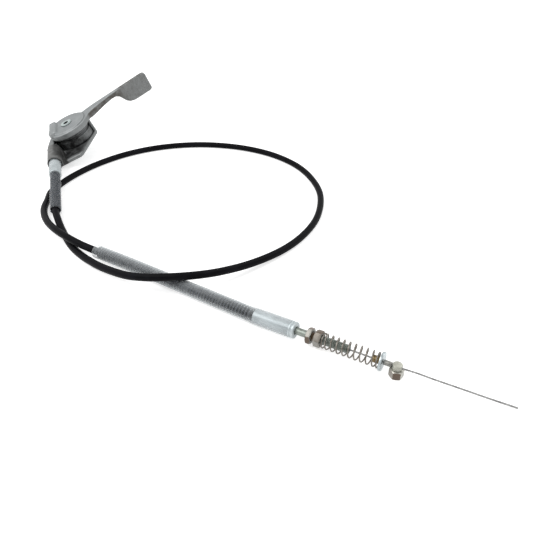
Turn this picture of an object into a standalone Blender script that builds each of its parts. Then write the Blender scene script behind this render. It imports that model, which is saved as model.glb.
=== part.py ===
"""Hand throttle control cable for a small machine.

A thumb lever turns on a hollow rivet in a die-cast housing and winds the inner wire on its drum.
The wire runs in a black conduit that lies in one loop, and comes out of a threaded adjuster with
two lock nuts, a return spring and a screwed cable clamp.  Metres, +Z up, the floor is z = 0.
"""
import math

import bmesh
import bpy
from mathutils import Matrix, Vector

MM = 0.001
X_AXIS = Vector((1.0, 0.0, 0.0))
Y_AXIS = Vector((0.0, 1.0, 0.0))
Z_AXIS = Vector((0.0, 0.0, 1.0))

# Clearance that two touching pieces keep, and the number of sides of round pieces
SEAT = 0.3 * MM
SIDES_LARGE = 36
SIDES_MEDIUM = 20
SIDES_SMALL = 12
SMALL_BORE = 2.5 * MM

# Conduit and the inner wire that it guides
CONDUIT_RADIUS = 3.0 * MM
WIRE_RADIUS = 0.6 * MM
WIRE_BORE_RADIUS = 1.1 * MM
CORD_POINT_SPACING = 14.5 * MM
WIRE_POINT_SPACING = 6.0 * MM
CORD_BEVEL_RESOLUTION = 2
ROUTE_SAMPLES = 12

# Lever frame: x towards the arm side, y away from the cable outlet, z along the pivot
PIVOT_ACROSS = -142.0 * MM
PIVOT_BEHIND = 135.6 * MM
PIVOT_HEIGHT = 34.8 * MM
OUTLET_HEADING = math.radians(18.6)
OUTLET_DIP = math.radians(3.2)
HOUSING_ROLL = math.radians(-21.3)

# Housing under the lever: outline, walls and floor
HOUSING_RADIUS = 23.2 * MM
HOUSING_WALL = 2.7 * MM
HOUSING_DEPTH = 24.0 * MM
HOUSING_FLOOR = 4.0 * MM
HOUSING_FRONT = -40.0 * MM
HOUSING_EDGE = 0.8 * MM
OPEN_SIDE_Y = -1.0 * MM
HOUSING_BACK_END = math.radians(176.0)
FRONT_CORNER_X = 4.8 * MM
CORNER_CHAMFER = 4.0 * MM
PIVOT_BOSS_RADIUS = 8.0 * MM
RIVET_RECESS = 1.7 * MM

# Throttle lever: hub disc, drum and pivot bore, which run inside the housing's wall
RIM_OVERLAP = 0.4 * MM
DISC_STEP = 1.8 * MM
DRUM_CLEARANCE = 0.6 * MM
WIRE_SINK = 0.8 * MM
PLATE_RADIUS = HOUSING_RADIUS - RIM_OVERLAP
DISC_RADIUS = PLATE_RADIUS - DISC_STEP
DRUM_RADIUS = HOUSING_RADIUS - HOUSING_WALL - DRUM_CLEARANCE
DRUM_WIRE_RADIUS = DRUM_RADIUS - WIRE_SINK
DISC_HEIGHT = 0.8 * MM
PLATE_THICKNESS = 6.2 * MM
PLATE_EDGE = 0.7 * MM
DRUM_DEPTH = 8.3 * MM
WIRE_LEVEL = -11.0 * MM
GROOVE_HALF_WIDTH = 1.3 * MM
PIVOT_RADIUS = 3.3 * MM
LEVER_SWEEP = math.radians(45.0)
WIRE_STROKE = DRUM_WIRE_RADIUS * LEVER_SWEEP

# Arm and thumb paddle, in a frame turned by the arm's heading about the pivot
ARM_HEADING = math.radians(17.7)
ARM_FAR_FACE = 7.4 * MM
ARM_CORNER = 0.9 * MM
ARM_STATIONS = (
    # distance from pivot, near face, top, bottom, all in millimetres
    (17.0, -14.0, -1.2, -6.6),
    (20.0, -11.5, -1.0, -6.8),
    (24.0, -8.0, -0.6, -7.0),
    (29.0, -5.7, -0.3, -7.4),
    (36.0, -4.0, 0.0, -6.8),
    (46.0, -1.4, 0.0, -6.0),
    (57.0, 0.9, 0.0, -5.4),
    (62.5, 1.6, 0.0, -6.0),
    (66.2, 2.1, 0.0, -8.4),
    (68.6, 2.4, 0.0, -12.2),
    (71.0, 2.7, 0.0, -16.4),
    (74.8, 3.1, 0.0, -19.6),
    (80.2, 3.6, 0.0, -21.4),
    (90.3, 4.3, 0.0, -21.9),
    (99.6, 4.8, 0.0, -22.0),
    (101.0, 4.1, 0.0, -22.0),
    (103.8, 4.1, -0.7, -21.4),
    (105.2, 4.6, -3.0, -20.2),
)

# Ridge cast on the left rim of the lever, over the wire's nipple
RIDGE_INSET = 7.4 * MM
RIDGE_CENTRE_X = RIDGE_INSET - PLATE_RADIUS
RIDGE_HALF_WIDTH = 4.5 * MM
RIDGE_BACK = 15.5 * MM
RIDGE_FRONT = -15.0 * MM
RIDGE_TOP = 2.3 * MM
RIDGE_BOTTOM = -3.5 * MM
RIDGE_CORNER = 2.0 * MM
RIDGE_SHOULDER = 1.6 * MM

# Nipple on the wire's lever end, in a pocket of the drum
NIPPLE_RADIUS = 2.5 * MM
NIPPLE_HEIGHT = 5.8 * MM
NIPPLE_ANGLE = math.radians(128.0)
NIPPLE_SINK = 1.9 * MM
NIPPLE_SEAT_RADIUS = DRUM_WIRE_RADIUS - NIPPLE_SINK
LEVER_WIRE_RADIUS = 0.75 * MM
DRUM_WIRE_STEPS = 8

# Outlet boss on the housing, a half barrel round the ferrule's socket, which stands in front of
# the floor and a little further out than the wire leaves the drum
BOSS_RADIUS = 7.3 * MM
BOSS_LENGTH = 30.5 * MM
BOSS_REACH = 14.5 * MM
OUTLET_OFFSET = 2.5 * MM
SOCKET_DEPTH = 13.0 * MM
WIRE_HOLE_RADIUS = 2.4 * MM
OUTLET_FRONT = HOUSING_FRONT - BOSS_REACH
OUTLET_X = -DRUM_WIRE_RADIUS - OUTLET_OFFSET

# Pivot rivet and the washer that gives the lever its friction
RIVET_HOLE_RADIUS = 2.5 * MM
RIVET_HEAD_RADIUS = 6.1 * MM
RIVET_HEAD_HEIGHT = 0.9 * MM
RIVET_TAIL_RADIUS = 6.4 * MM
FRICTION_WASHER_RADIUS = 8.2 * MM
FRICTION_WASHER_THICKNESS = 0.5 * MM

# Ferrule, guard spring and sleeve on the lever end of the conduit, measured from the outlet face
LEVER_FERRULE_PLUG_RADIUS = 6.0 * MM
LEVER_FERRULE_RADIUS = 5.6 * MM
LEVER_FERRULE_LENGTH = 26.0 * MM
LEVER_SLEEVE_LENGTH = 96.0 * MM
CONDUIT_SEAT_DEPTH = 18.0 * MM

# Guard springs and their clear sleeves, the same section at both ends of the conduit
GUARD_INNER_RADIUS = 3.6 * MM
GUARD_OUTER_RADIUS = 4.6 * MM
GUARD_VALLEY_RADIUS = 4.1 * MM
GUARD_PITCH = 2.5 * MM
GUARD_SETBACK = 2.0 * MM
SLEEVE_WALL = 0.4 * MM
SLEEVE_BORE_RADIUS = 4.95 * MM
SLEEVE_TAPER = 2.5 * MM
GUARD_SLEEVE_LENGTH = 150.0 * MM
GUARD_SIDES = 8
SLEEVE_SIDES = 16
LENGTHWISE_STEPS = 8

# Adjuster: its axis starts at the ferrule's rear end and runs to the cable clamp
ADJUSTER_ACROSS = 72.1 * MM
ADJUSTER_BEHIND = -150.0 * MM
ADJUSTER_HEIGHT = 6.0 * MM
ADJUSTER_HEADING = math.radians(-29.15)
ADJUSTER_RISE = math.radians(0.86)
FERRULE_RADIUS = 5.1 * MM
FERRULE_LENGTH = 27.2 * MM
COLLAR_RADIUS = 5.65 * MM
COLLAR_LENGTH = 3.9 * MM
COLLAR_CHAMFER = 0.5 * MM
TUBE_NECK_RADIUS = 2.5 * MM
TUBE_NECK_LENGTH = 7.9 * MM
THREAD_RADIUS = 2.95 * MM
STOP_CLEARANCE = 0.5 * MM
TUBE_SEAT_DEPTH = 8.0 * MM

# Lock nuts on the thread
NUT_ACROSS_FLATS = 10.0 * MM
NUT_CHAMFER_SLOPE = math.tan(math.radians(30.0))
NUT_GAP = 2.1 * MM
THIN_NUT_HEIGHT = 3.4 * MM
FULL_NUT_HEIGHT = 4.8 * MM
NUT_TURN = math.radians(12.0)

# Return spring between the outer nut and the washer
SPRING_LENGTH = 38.6 * MM
SPRING_RADIUS = 4.8 * MM
SPRING_WIRE_RADIUS = 0.5 * MM
SPRING_TURNS = 11.0
SPRING_STEPS = 14
SPRING_SIDES = 6

# Bush, washer, spacer and clamp that travel with the wire
BUSH_RADIUS = 2.4 * MM
BUSH_LENGTH = 4.6 * MM
WASHER_RADIUS = 6.2 * MM
WASHER_THICKNESS = 1.6 * MM
SPACER_RADIUS = 1.7 * MM
SPACER_LENGTH = 5.1 * MM
CLAMP_RADIUS = 3.15 * MM
CLAMP_ABOVE_WIRE = 2.0 * MM
CLAMP_BELOW_WIRE = 1.6 * MM
CLAMP_CHAMFER = 0.3 * MM
SCREW_ACROSS_FLATS = 8.0 * MM
SCREW_HEAD_HEIGHT = 5.6 * MM
SCREW_SHANK_RADIUS = 2.0 * MM
SCREW_TURN = math.radians(20.0)

# Free end of the inner wire, beyond the clamp
WIRE_TAIL_POINTS = (
    (170.5, -203.7, 7.1),
    (179.0, -207.5, 6.3),
    (193.4, -213.0, 4.6),
    (209.0, -218.9, 2.6),
    (223.9, -224.4, 0.9),
)

# Conduit's way between its two straight ends, chosen by hand, in millimetres
CONDUIT_POINTS = (
    (-104.2, -22.3, 7.4),
    (-100.2, -29.8, 6.0),
    (-96.0, -36.9, 4.8),
    (-91.7, -43.8, 3.9),
    (-87.5, -50.4, 3.3),
    (-82.4, -57.8, 3.1),
    (-76.5, -65.1, 3.1),
    (-70.9, -71.0, 3.2),
    (-65.0, -77.2, 3.8),
    (-59.2, -82.7, 4.6),
    (-53.6, -88.0, 5.5),
    (-48.2, -92.8, 6.5),
    (-43.2, -96.8, 7.4),
    (-38.2, -100.7, 8.4),
    (-32.5, -104.8, 9.5),
    (-26.9, -108.6, 10.6),
    (-19.9, -112.5, 11.9),
    (-11.8, -115.5, 13.2),
    (-4.1, -117.3, 14.1),
    (6.8, -117.7, 14.6),
    (18.0, -117.2, 14.9),
    (31.1, -112.7, 13.2),
    (44.6, -104.4, 10.0),
    (65.9, -88.6, 6.0),
    (89.0, -67.6, 3.6),
    (105.7, -46.7, 3.1),
    (120.6, -16.4, 3.1),
    (127.3, 20.9, 3.1),
    (125.6, 47.9, 3.1),
    (114.9, 82.1, 3.1),
    (99.7, 106.8, 3.1),
    (74.0, 130.9, 3.1),
    (39.0, 148.1, 3.1),
    (-2.7, 154.7, 3.1),
    (-44.0, 147.7, 3.1),
    (-77.3, 130.0, 3.1),
    (-103.3, 104.0, 3.1),
    (-120.3, 76.2, 3.1),
    (-129.4, 50.9, 3.1),
    (-131.9, 36.8, 3.1),
    (-129.0, 18.4, 3.3),
    (-127.7, 10.4, 3.8),
    (-125.9, 3.0, 4.4),
    (-123.5, -4.2, 5.0),
    (-119.5, -13.2, 5.9),
    (-115.1, -21.3, 6.8),
    (-110.1, -29.2, 7.8),
    (-104.3, -36.7, 8.7),
    (-96.4, -45.7, 9.7),
    (-87.5, -53.7, 10.0),
    (-79.5, -59.6, 9.5),
    (-71.2, -64.8, 8.6),
    (-62.4, -69.4, 7.6),
    (-26.5, -89.1, 6.1),
    (3.9, -107.7, 5.9),
    (32.0, -125.2, 5.9),
    (57.0, -140.7, 5.95),
)

# Places on the adjuster's axis, worked out from the lengths above
COLLAR_START = FERRULE_LENGTH + SEAT
COLLAR_END = COLLAR_START + COLLAR_LENGTH
THREAD_START = COLLAR_END + TUBE_NECK_LENGTH
THIN_NUT_START = THREAD_START + 2 * SEAT
THIN_NUT_END = THIN_NUT_START + THIN_NUT_HEIGHT
FULL_NUT_START = THIN_NUT_END + NUT_GAP
FULL_NUT_END = FULL_NUT_START + FULL_NUT_HEIGHT
SPRING_START = FULL_NUT_END + SEAT
SPRING_END = SPRING_START + SPRING_LENGTH
BUSH_START = SPRING_END - BUSH_LENGTH
THREAD_END = BUSH_START - WIRE_STROKE - STOP_CLEARANCE
WASHER_START = SPRING_END + SEAT
WASHER_END = WASHER_START + WASHER_THICKNESS
SPACER_START = WASHER_END + SEAT
SPACER_END = SPACER_START + SPACER_LENGTH
CLAMP_CENTRE = SPACER_END + SEAT + CLAMP_RADIUS

# Places below the lever's top disc
PLATE_BOTTOM = -(DISC_HEIGHT + PLATE_THICKNESS)
DRUM_BOTTOM = PLATE_BOTTOM - DRUM_DEPTH
WASHER_TOP = DRUM_BOTTOM - SEAT
PIVOT_BOSS_TOP = WASHER_TOP - FRICTION_WASHER_THICKNESS - SEAT
FLOOR_TOP = HOUSING_FLOOR - HOUSING_DEPTH
WALL_TOP = PLATE_BOTTOM - 2 * SEAT
LEVER_BORE_RADIUS = PIVOT_RADIUS + SEAT
BOSS_BACK = OUTLET_FRONT + BOSS_LENGTH
CONDUIT_SEAT = LEVER_FERRULE_LENGTH - CONDUIT_SEAT_DEPTH + SEAT


def material(name, color, roughness, metallic=0.0, alpha=1.0):
    """Principled material with a colour, roughness and metallic value."""
    found = bpy.data.materials.get(name)
    if found:
        return found
    made = bpy.data.materials.new(name)
    made.use_nodes = True
    shader = made.node_tree.nodes["Principled BSDF"]
    shader.inputs["Base Color"].default_value = (*color, 1.0)
    shader.inputs["Roughness"].default_value = roughness
    shader.inputs["Metallic"].default_value = metallic
    shader.inputs["Alpha"].default_value = alpha
    return made


def die_cast():
    return material("die_cast_zinc", (0.33, 0.34, 0.34), 0.5, 0.7)


def zinc_plate():
    return material("zinc_plate", (0.55, 0.58, 0.58), 0.3, 0.9)


def spring_steel():
    return material("spring_steel", (0.25, 0.23, 0.21), 0.35, 0.9)


def conduit_plastic():
    return material("conduit_plastic", (0.012, 0.012, 0.015), 0.4)


def guard_plastic():
    return material("guard_spring_coat", (0.1, 0.11, 0.13), 0.5)


def clear_sleeve():
    return material("clear_sleeve", (0.5, 0.54, 0.56), 0.35, 0.0, 0.6)


def brass():
    return material("brass", (0.42, 0.28, 0.13), 0.35, 0.9)


def wire_steel():
    return material("wire_steel", (0.28, 0.28, 0.27), 0.4, 0.9)


def mesh_object(name, shape, look, parent=None, smooth_angle=math.radians(35)):
    """Object from a bmesh, with outward faces, one material and smooth shading up to an angle."""
    bmesh.ops.recalc_face_normals(shape, faces=shape.faces)
    mesh = bpy.data.meshes.new(name)
    shape.to_mesh(mesh)
    shape.free()
    mesh.materials.append(look)
    mesh.shade_smooth()
    mesh.set_sharp_from_angle(angle=smooth_angle)
    made = bpy.data.objects.new(name, mesh)
    bpy.context.scene.collection.objects.link(made)
    made.parent = parent
    return made


def frame_empty(name, matrix):
    """Empty that holds a frame for the pieces parented to it."""
    made = bpy.data.objects.new(name, None)
    made.matrix_world = matrix
    bpy.context.scene.collection.objects.link(made)
    return made


def rings_to_shape(rings, closed_loop=False):
    """Skin over rings of equally many points; ends are capped unless the rings close on themselves."""
    shape = bmesh.new()
    made = [[shape.verts.new(point) for point in ring] for ring in rings]
    last = len(made) if closed_loop else len(made) - 1
    for index in range(last):
        here = made[index]
        there = made[(index + 1) % len(made)]
        for side in range(len(here)):
            after = (side + 1) % len(here)
            shape.faces.new((here[side], here[after], there[after], there[side]))
    if not closed_loop:
        shape.faces.new(made[0])
        shape.faces.new(made[-1])
    return shape


def circle_points(centre, across, up, radius, sides):
    """Points of a circle about a centre, in the plane of two unit vectors."""
    angles = [2 * math.pi * k / sides for k in range(sides)]
    return [centre + across * (radius * math.cos(a)) + up * (radius * math.sin(a)) for a in angles]


def turned_rings(profile, sides):
    """Circles about the z axis for an outline of (radius, height) points."""
    return [circle_points(Z_AXIS * height, X_AXIS, Y_AXIS, radius, sides) for radius, height in profile]


def turned(profile, sides):
    """Turn a closed outline about the z axis into a ring-shaped solid."""
    return rings_to_shape(turned_rings(profile, sides), closed_loop=True)


def turned_solid(profile, sides):
    """Turn an open outline into a solid without a bore; its two ends are flat discs."""
    return rings_to_shape(turned_rings(profile, sides))


def prism(outline, bottom, top):
    """Straight prism over a flat outline of (x, y) points."""
    rings = [[Vector((x, y, level)) for x, y in outline] for level in (bottom, top)]
    return rings_to_shape(rings)


def arc_points(radius, start, end, steps):
    """Points of an arc about the origin, both ends included."""
    angles = [start + (end - start) * k / steps for k in range(steps + 1)]
    return [(radius * math.cos(a), radius * math.sin(a)) for a in angles]


def cutter(name, shape, parent, location=(0.0, 0.0, 0.0), rotation=(0.0, 0.0, 0.0)):
    """Hidden tool object for a Boolean."""
    bmesh.ops.recalc_face_normals(shape, faces=shape.faces)
    mesh = bpy.data.meshes.new(name)
    shape.to_mesh(mesh)
    shape.free()
    made = bpy.data.objects.new(name, mesh)
    bpy.context.scene.collection.objects.link(made)
    made.parent = parent
    made.location = location
    made.rotation_euler = rotation
    made.hide_render = True
    made.display_type = "WIRE"
    return made


def combine(target, tool, operation):
    """Boolean of a hidden tool on a piece."""
    step = target.modifiers.new(tool.name, "BOOLEAN")
    step.object = tool
    step.operation = operation
    step.solver = "EXACT"


def smooth_route(points):
    """Centripetal Catmull-Rom curve through route points, as a list of close points."""
    ends = [points[0] * 2 - points[1], *points, points[-1] * 2 - points[-2]]
    curve = []
    for index in range(1, len(ends) - 2):
        p0, p1, p2, p3 = ends[index - 1:index + 3]
        t1 = math.sqrt((p1 - p0).length)
        t2 = t1 + math.sqrt((p2 - p1).length)
        t3 = t2 + math.sqrt((p3 - p2).length)
        for step in range(ROUTE_SAMPLES):
            t = t1 + (t2 - t1) * step / ROUTE_SAMPLES
            a1 = p0 * ((t1 - t) / t1) + p1 * (t / t1)
            a2 = p1 * ((t2 - t) / (t2 - t1)) + p2 * ((t - t1) / (t2 - t1))
            a3 = p2 * ((t3 - t) / (t3 - t2)) + p3 * ((t - t2) / (t3 - t2))
            b1 = a1 * ((t2 - t) / t2) + a2 * (t / t2)
            b2 = a2 * ((t3 - t) / (t3 - t1)) + a3 * ((t - t1) / (t3 - t1))
            curve.append(b1 * ((t2 - t) / (t2 - t1)) + b2 * ((t - t1) / (t2 - t1)))
    curve.append(points[-1].copy())
    return curve


def route_lengths(curve):
    """Distance along a curve of each of its points."""
    lengths = [0.0]
    for before, after in zip(curve, curve[1:]):
        lengths.append(lengths[-1] + (after - before).length)
    return lengths


def point_along(curve, lengths, distance):
    """Point and direction at a distance along a curve; beyond its ends it goes on straight."""
    index = 1
    while index < len(curve) - 1 and lengths[index] < distance:
        index += 1
    step = curve[index] - curve[index - 1]
    share = (distance - lengths[index - 1]) / (lengths[index] - lengths[index - 1])
    return curve[index - 1] + step * share, step.normalized()


def turned_along(curve, outline, sides):
    """Sweep a closed outline of (distance, radius) points round a curve into a tube-like solid."""
    lengths = route_lengths(curve)
    rings = []
    for distance, radius in outline:
        centre, direction = point_along(curve, lengths, distance)
        side = direction.cross(Z_AXIS).normalized()
        rings.append(circle_points(centre, side, side.cross(direction), radius, sides))
    return rings_to_shape(rings, closed_loop=True)


def guard_outline(start, end, steps):
    """Section of a guard spring from start to end: one crest for each turn outside, plain inside."""
    turns = max(1, round((end - start) / GUARD_PITCH))
    pitch = (end - start) / turns
    outline = []
    for turn in range(turns):
        outline.append((start + pitch * turn, GUARD_VALLEY_RADIUS))
        outline.append((start + pitch * (turn + 0.5), GUARD_OUTER_RADIUS))
    outline.append((end, GUARD_VALLEY_RADIUS))
    for step in range(steps + 1):
        outline.append((end - (end - start) * step / steps, GUARD_INNER_RADIUS))
    return outline


def sleeve_outline(open_end, step_end, far_end, wide_bore, steps):
    """Section of a clear sleeve: narrow over the guard spring, stepped up over the ferrule."""
    taper = math.copysign(SLEEVE_TAPER, step_end - open_end)
    path = [(open_end + (step_end - taper - open_end) * k / steps, SLEEVE_BORE_RADIUS)
            for k in range(steps + 1)]
    path += [(step_end, wide_bore), (far_end, wide_bore)]
    outside = [(distance, radius + SLEEVE_WALL) for distance, radius in path]
    return outside + path[::-1]


def tube_on_axis(outline, sides):
    """Turned solid about z from an outline of (distance, radius) points."""
    return turned([(radius, distance) for distance, radius in outline], sides)


def hex_piece(name, across_flats, bottom, top, turn, look, parent):
    """Hexagon prism along z whose corners are chamfered by a turned tool."""
    flat = across_flats / 2
    corner = across_flats / math.sqrt(3)
    angles = [turn + math.pi * k / 3 for k in range(6)]
    outline = [(corner * math.cos(a), corner * math.sin(a)) for a in angles]
    made = mesh_object(name, prism(outline, bottom, top), look, parent)
    beyond = corner + SEAT
    slope = (beyond - flat) * NUT_CHAMFER_SLOPE
    profile = [(flat, bottom), (beyond, bottom + slope), (beyond, top - slope), (flat, top)]
    tool = cutter(name + "_chamfer_tool", turned_solid(profile, 2 * SIDES_SMALL), parent)
    combine(made, tool, "INTERSECT")
    return made


def bore(target, name, radius, bottom, top, parent):
    """Round hole along z of the parent's frame."""
    sides = SIDES_SMALL if radius < SMALL_BORE else SIDES_MEDIUM
    shape = turned_solid([(radius, bottom), (radius, top)], sides)
    combine(target, cutter(name + "_tool", shape, parent), "DIFFERENCE")


def axes_matrix(place, x_axis, z_axis):
    """Frame at a place from its x and z axes."""
    y_axis = z_axis.cross(x_axis)
    turn = Matrix((x_axis, y_axis, z_axis)).transposed().to_4x4()
    return Matrix.Translation(place) @ turn


def lever_frame_matrix():
    """Frame of the lever and its housing: roll about the outlet, dip, then heading."""
    place = Matrix.Translation((PIVOT_ACROSS, PIVOT_BEHIND, PIVOT_HEIGHT))
    turn = Matrix.Rotation(OUTLET_HEADING, 4, "Z") @ Matrix.Rotation(OUTLET_DIP, 4, "X")
    return place @ turn @ Matrix.Rotation(HOUSING_ROLL, 4, "Y")


def outlet_frame_matrix():
    """Frame at the outlet face with z running out along the conduit."""
    place = Vector((OUTLET_X, OUTLET_FRONT, WIRE_LEVEL))
    return lever_frame_matrix() @ axes_matrix(place, Z_AXIS, -Y_AXIS)


def adjuster_frame_matrix():
    """Frame at the adjuster ferrule's rear end with z along the adjuster and x pointing up."""
    turn = Matrix.Rotation(ADJUSTER_HEADING, 4, "Z") @ Matrix.Rotation(-ADJUSTER_RISE, 4, "Y")
    place = Matrix.Translation((ADJUSTER_ACROSS, ADJUSTER_BEHIND, ADJUSTER_HEIGHT))
    return place @ turn @ axes_matrix(Vector(), Z_AXIS, X_AXIS)


def rounded_section(left, right, bottom, top, corner):
    """Corner points of a rectangle with cut corners, counter-clockwise."""
    return (
        (left + corner, bottom), (right - corner, bottom), (right, bottom + corner),
        (right, top - corner), (right - corner, top), (left + corner, top),
        (left, top - corner), (left, bottom + corner),
    )


def lever_hub_shape():
    """Hub of the lever: raised disc with its incised rim, plate and grooved drum, with the bore."""
    shoulder = -DISC_HEIGHT
    groove_floor = DRUM_WIRE_RADIUS - LEVER_WIRE_RADIUS - SEAT / 2
    profile = [
        (LEVER_BORE_RADIUS, 0.0),
        (LEVER_BORE_RADIUS, DRUM_BOTTOM),
        (DRUM_RADIUS, DRUM_BOTTOM),
        (DRUM_RADIUS, WIRE_LEVEL - GROOVE_HALF_WIDTH),
        (groove_floor, WIRE_LEVEL - LEVER_WIRE_RADIUS - SEAT),
        (groove_floor, WIRE_LEVEL + LEVER_WIRE_RADIUS + SEAT),
        (DRUM_RADIUS, WIRE_LEVEL + GROOVE_HALF_WIDTH),
        (DRUM_RADIUS, PLATE_BOTTOM),
        (PLATE_RADIUS - PLATE_EDGE, PLATE_BOTTOM),
        (PLATE_RADIUS, PLATE_BOTTOM + PLATE_EDGE),
        (PLATE_RADIUS, shoulder - PLATE_EDGE),
        (PLATE_RADIUS - PLATE_EDGE, shoulder),
        (DISC_RADIUS, shoulder),
        (DISC_RADIUS - DISC_HEIGHT / 2, 0.0),
    ]
    return turned(profile, SIDES_LARGE)


def arm_shape():
    """Arm and thumb paddle, lofted through its stations along the arm's heading."""
    rings = []
    for distance, near, top, bottom in ARM_STATIONS:
        corners = rounded_section(near * MM, ARM_FAR_FACE, bottom * MM, top * MM, ARM_CORNER)
        rings.append([Vector((distance * MM, across, level)) for across, level in corners])
    return rings_to_shape(rings)


def ridge_shape():
    """Ridge on the lever's rim: a lofted bar whose two ends are drawn in and rounded off."""
    end = RIDGE_CORNER
    draws = ((0.0, end), (end / 2, end / 3), (3 * end / 2, 0.0))
    stations = [(RIDGE_FRONT + along, draw) for along, draw in draws]
    stations += [(RIDGE_BACK - along, draw) for along, draw in reversed(draws)]
    rings = []
    for along, draw in stations:
        half_width = RIDGE_HALF_WIDTH - draw
        corners = rounded_section(RIDGE_CENTRE_X - half_width, RIDGE_CENTRE_X + half_width,
                                  RIDGE_BOTTOM, RIDGE_TOP - draw, RIDGE_SHOULDER)
        rings.append([Vector((across, along, level)) for across, level in corners])
    return rings_to_shape(rings)


def nipple_place():
    """Centre of the nipple in the drum, in the lever's plane."""
    outward = Vector((math.cos(NIPPLE_ANGLE), math.sin(NIPPLE_ANGLE), 0.0))
    return outward * NIPPLE_SEAT_RADIUS


def make_lever(frame):
    """Throttle lever, the nipple in its drum and the wire that lies in the drum's groove."""
    lever = mesh_object("throttle_lever", lever_hub_shape(), die_cast(), frame)
    arm = cutter("arm_tool", arm_shape(), frame, rotation=(0.0, 0.0, ARM_HEADING))
    combine(lever, arm, "UNION")
    combine(lever, cutter("ridge_tool", ridge_shape(), frame), "UNION")
    place = nipple_place()
    top = WIRE_LEVEL + NIPPLE_HEIGHT / 2
    bottom = WIRE_LEVEL - NIPPLE_HEIGHT / 2
    room = NIPPLE_RADIUS + SEAT
    pocket = turned_solid([(room, DRUM_BOTTOM - SEAT), (room, top + SEAT)], SIDES_MEDIUM)
    combine(lever, cutter("nipple_pocket_tool", pocket, frame, place), "DIFFERENCE")
    pin = turned_solid([(NIPPLE_RADIUS, bottom), (NIPPLE_RADIUS, top)], SIDES_MEDIUM)
    nipple = mesh_object("lever_nipple", pin, zinc_plate(), frame)
    nipple.location = place
    mesh_object("drum_wire", drum_wire_shape(), wire_steel(), frame)


def drum_wire_shape():
    """Wire on the drum, round from the nipple to where it leaves for the outlet."""
    start = NIPPLE_ANGLE + (NIPPLE_RADIUS + 2 * SEAT) / DRUM_WIRE_RADIUS
    rings = []
    for step in range(DRUM_WIRE_STEPS + 1):
        angle = start + (math.pi - start) * step / DRUM_WIRE_STEPS
        outward = Vector((math.cos(angle), math.sin(angle), 0.0))
        centre = outward * DRUM_WIRE_RADIUS + Z_AXIS * WIRE_LEVEL
        rings.append(circle_points(centre, outward, Z_AXIS, LEVER_WIRE_RADIUS, SIDES_SMALL))
    return rings_to_shape(rings)


def housing_outline(inset):
    """Outline of the housing in plan, the flat floor's edge: round at the back, cut off in front."""
    radius = HOUSING_RADIUS - inset
    left = OUTLET_X - BOSS_RADIUS + inset
    front = HOUSING_FRONT + inset
    round_back = arc_points(radius, math.asin(OPEN_SIDE_Y / radius), HOUSING_BACK_END, SIDES_MEDIUM)
    return round_back + [
        (left, BOSS_BACK),
        (left, front),
        (FRONT_CORNER_X - CORNER_CHAMFER, front),
        (FRONT_CORNER_X - inset, HOUSING_FRONT + CORNER_CHAMFER),
    ]


def pocket_outline():
    """Outline of the housing's pocket, open to the front right."""
    radius = HOUSING_RADIUS - HOUSING_WALL
    boss_right = OUTLET_X + BOSS_RADIUS
    beyond = 2 * HOUSING_RADIUS
    arc = arc_points(radius, 0.0, math.pi, SIDES_MEDIUM)
    return [(beyond, OPEN_SIDE_Y), (radius, OPEN_SIDE_Y)] + arc[1:] + [
        (-radius, BOSS_BACK), (boss_right, BOSS_BACK), (boss_right, -beyond), (beyond, -beyond)]


def make_housing(frame, outlet):
    """Die-cast housing: floor, half-round wall, pivot boss and the outlet boss with its socket."""
    levels = ((HOUSING_EDGE, -HOUSING_DEPTH), (0.0, HOUSING_EDGE - HOUSING_DEPTH), (0.0, WALL_TOP))
    body = rings_to_shape([[Vector((x, y, level)) for x, y in housing_outline(inset)]
                           for inset, level in levels])
    housing = mesh_object("lever_housing", body, die_cast(), frame)
    beyond = 2 * HOUSING_RADIUS
    below = -2 * HOUSING_DEPTH
    front = [(-beyond, -beyond), (beyond, -beyond), (beyond, BOSS_BACK), (-beyond, BOSS_BACK)]
    beside_boss = prism(front, WIRE_LEVEL, 0.0)
    combine(housing, cutter("beside_boss_tool", beside_boss, frame), "DIFFERENCE")
    pocket = prism(pocket_outline(), FLOOR_TOP, 0.0)
    combine(housing, cutter("pocket_tool", pocket, frame), "DIFFERENCE")
    barrel = turned_solid([(BOSS_RADIUS, 0.0), (BOSS_RADIUS, -BOSS_LENGTH)], SIDES_MEDIUM)
    combine(housing, cutter("barrel_tool", barrel, outlet), "UNION")
    post_foot = FLOOR_TOP - HOUSING_FLOOR / 2
    post = turned_solid([(PIVOT_BOSS_RADIUS, post_foot), (PIVOT_BOSS_RADIUS, PIVOT_BOSS_TOP)], SIDES_MEDIUM)
    combine(housing, cutter("pivot_boss_tool", post, frame), "UNION")
    recess_top = RIVET_RECESS - HOUSING_DEPTH
    bore(housing, "pivot_bore", LEVER_BORE_RADIUS, below, 0.0, frame)
    bore(housing, "rivet_recess", RIVET_TAIL_RADIUS + SEAT, below, recess_top, frame)
    bore(housing, "socket", LEVER_FERRULE_PLUG_RADIUS + SEAT, -SOCKET_DEPTH - SEAT, SOCKET_DEPTH, outlet)
    bore(housing, "wire_hole", WIRE_HOLE_RADIUS, -2 * BOSS_LENGTH, 0.0, outlet)


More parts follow.
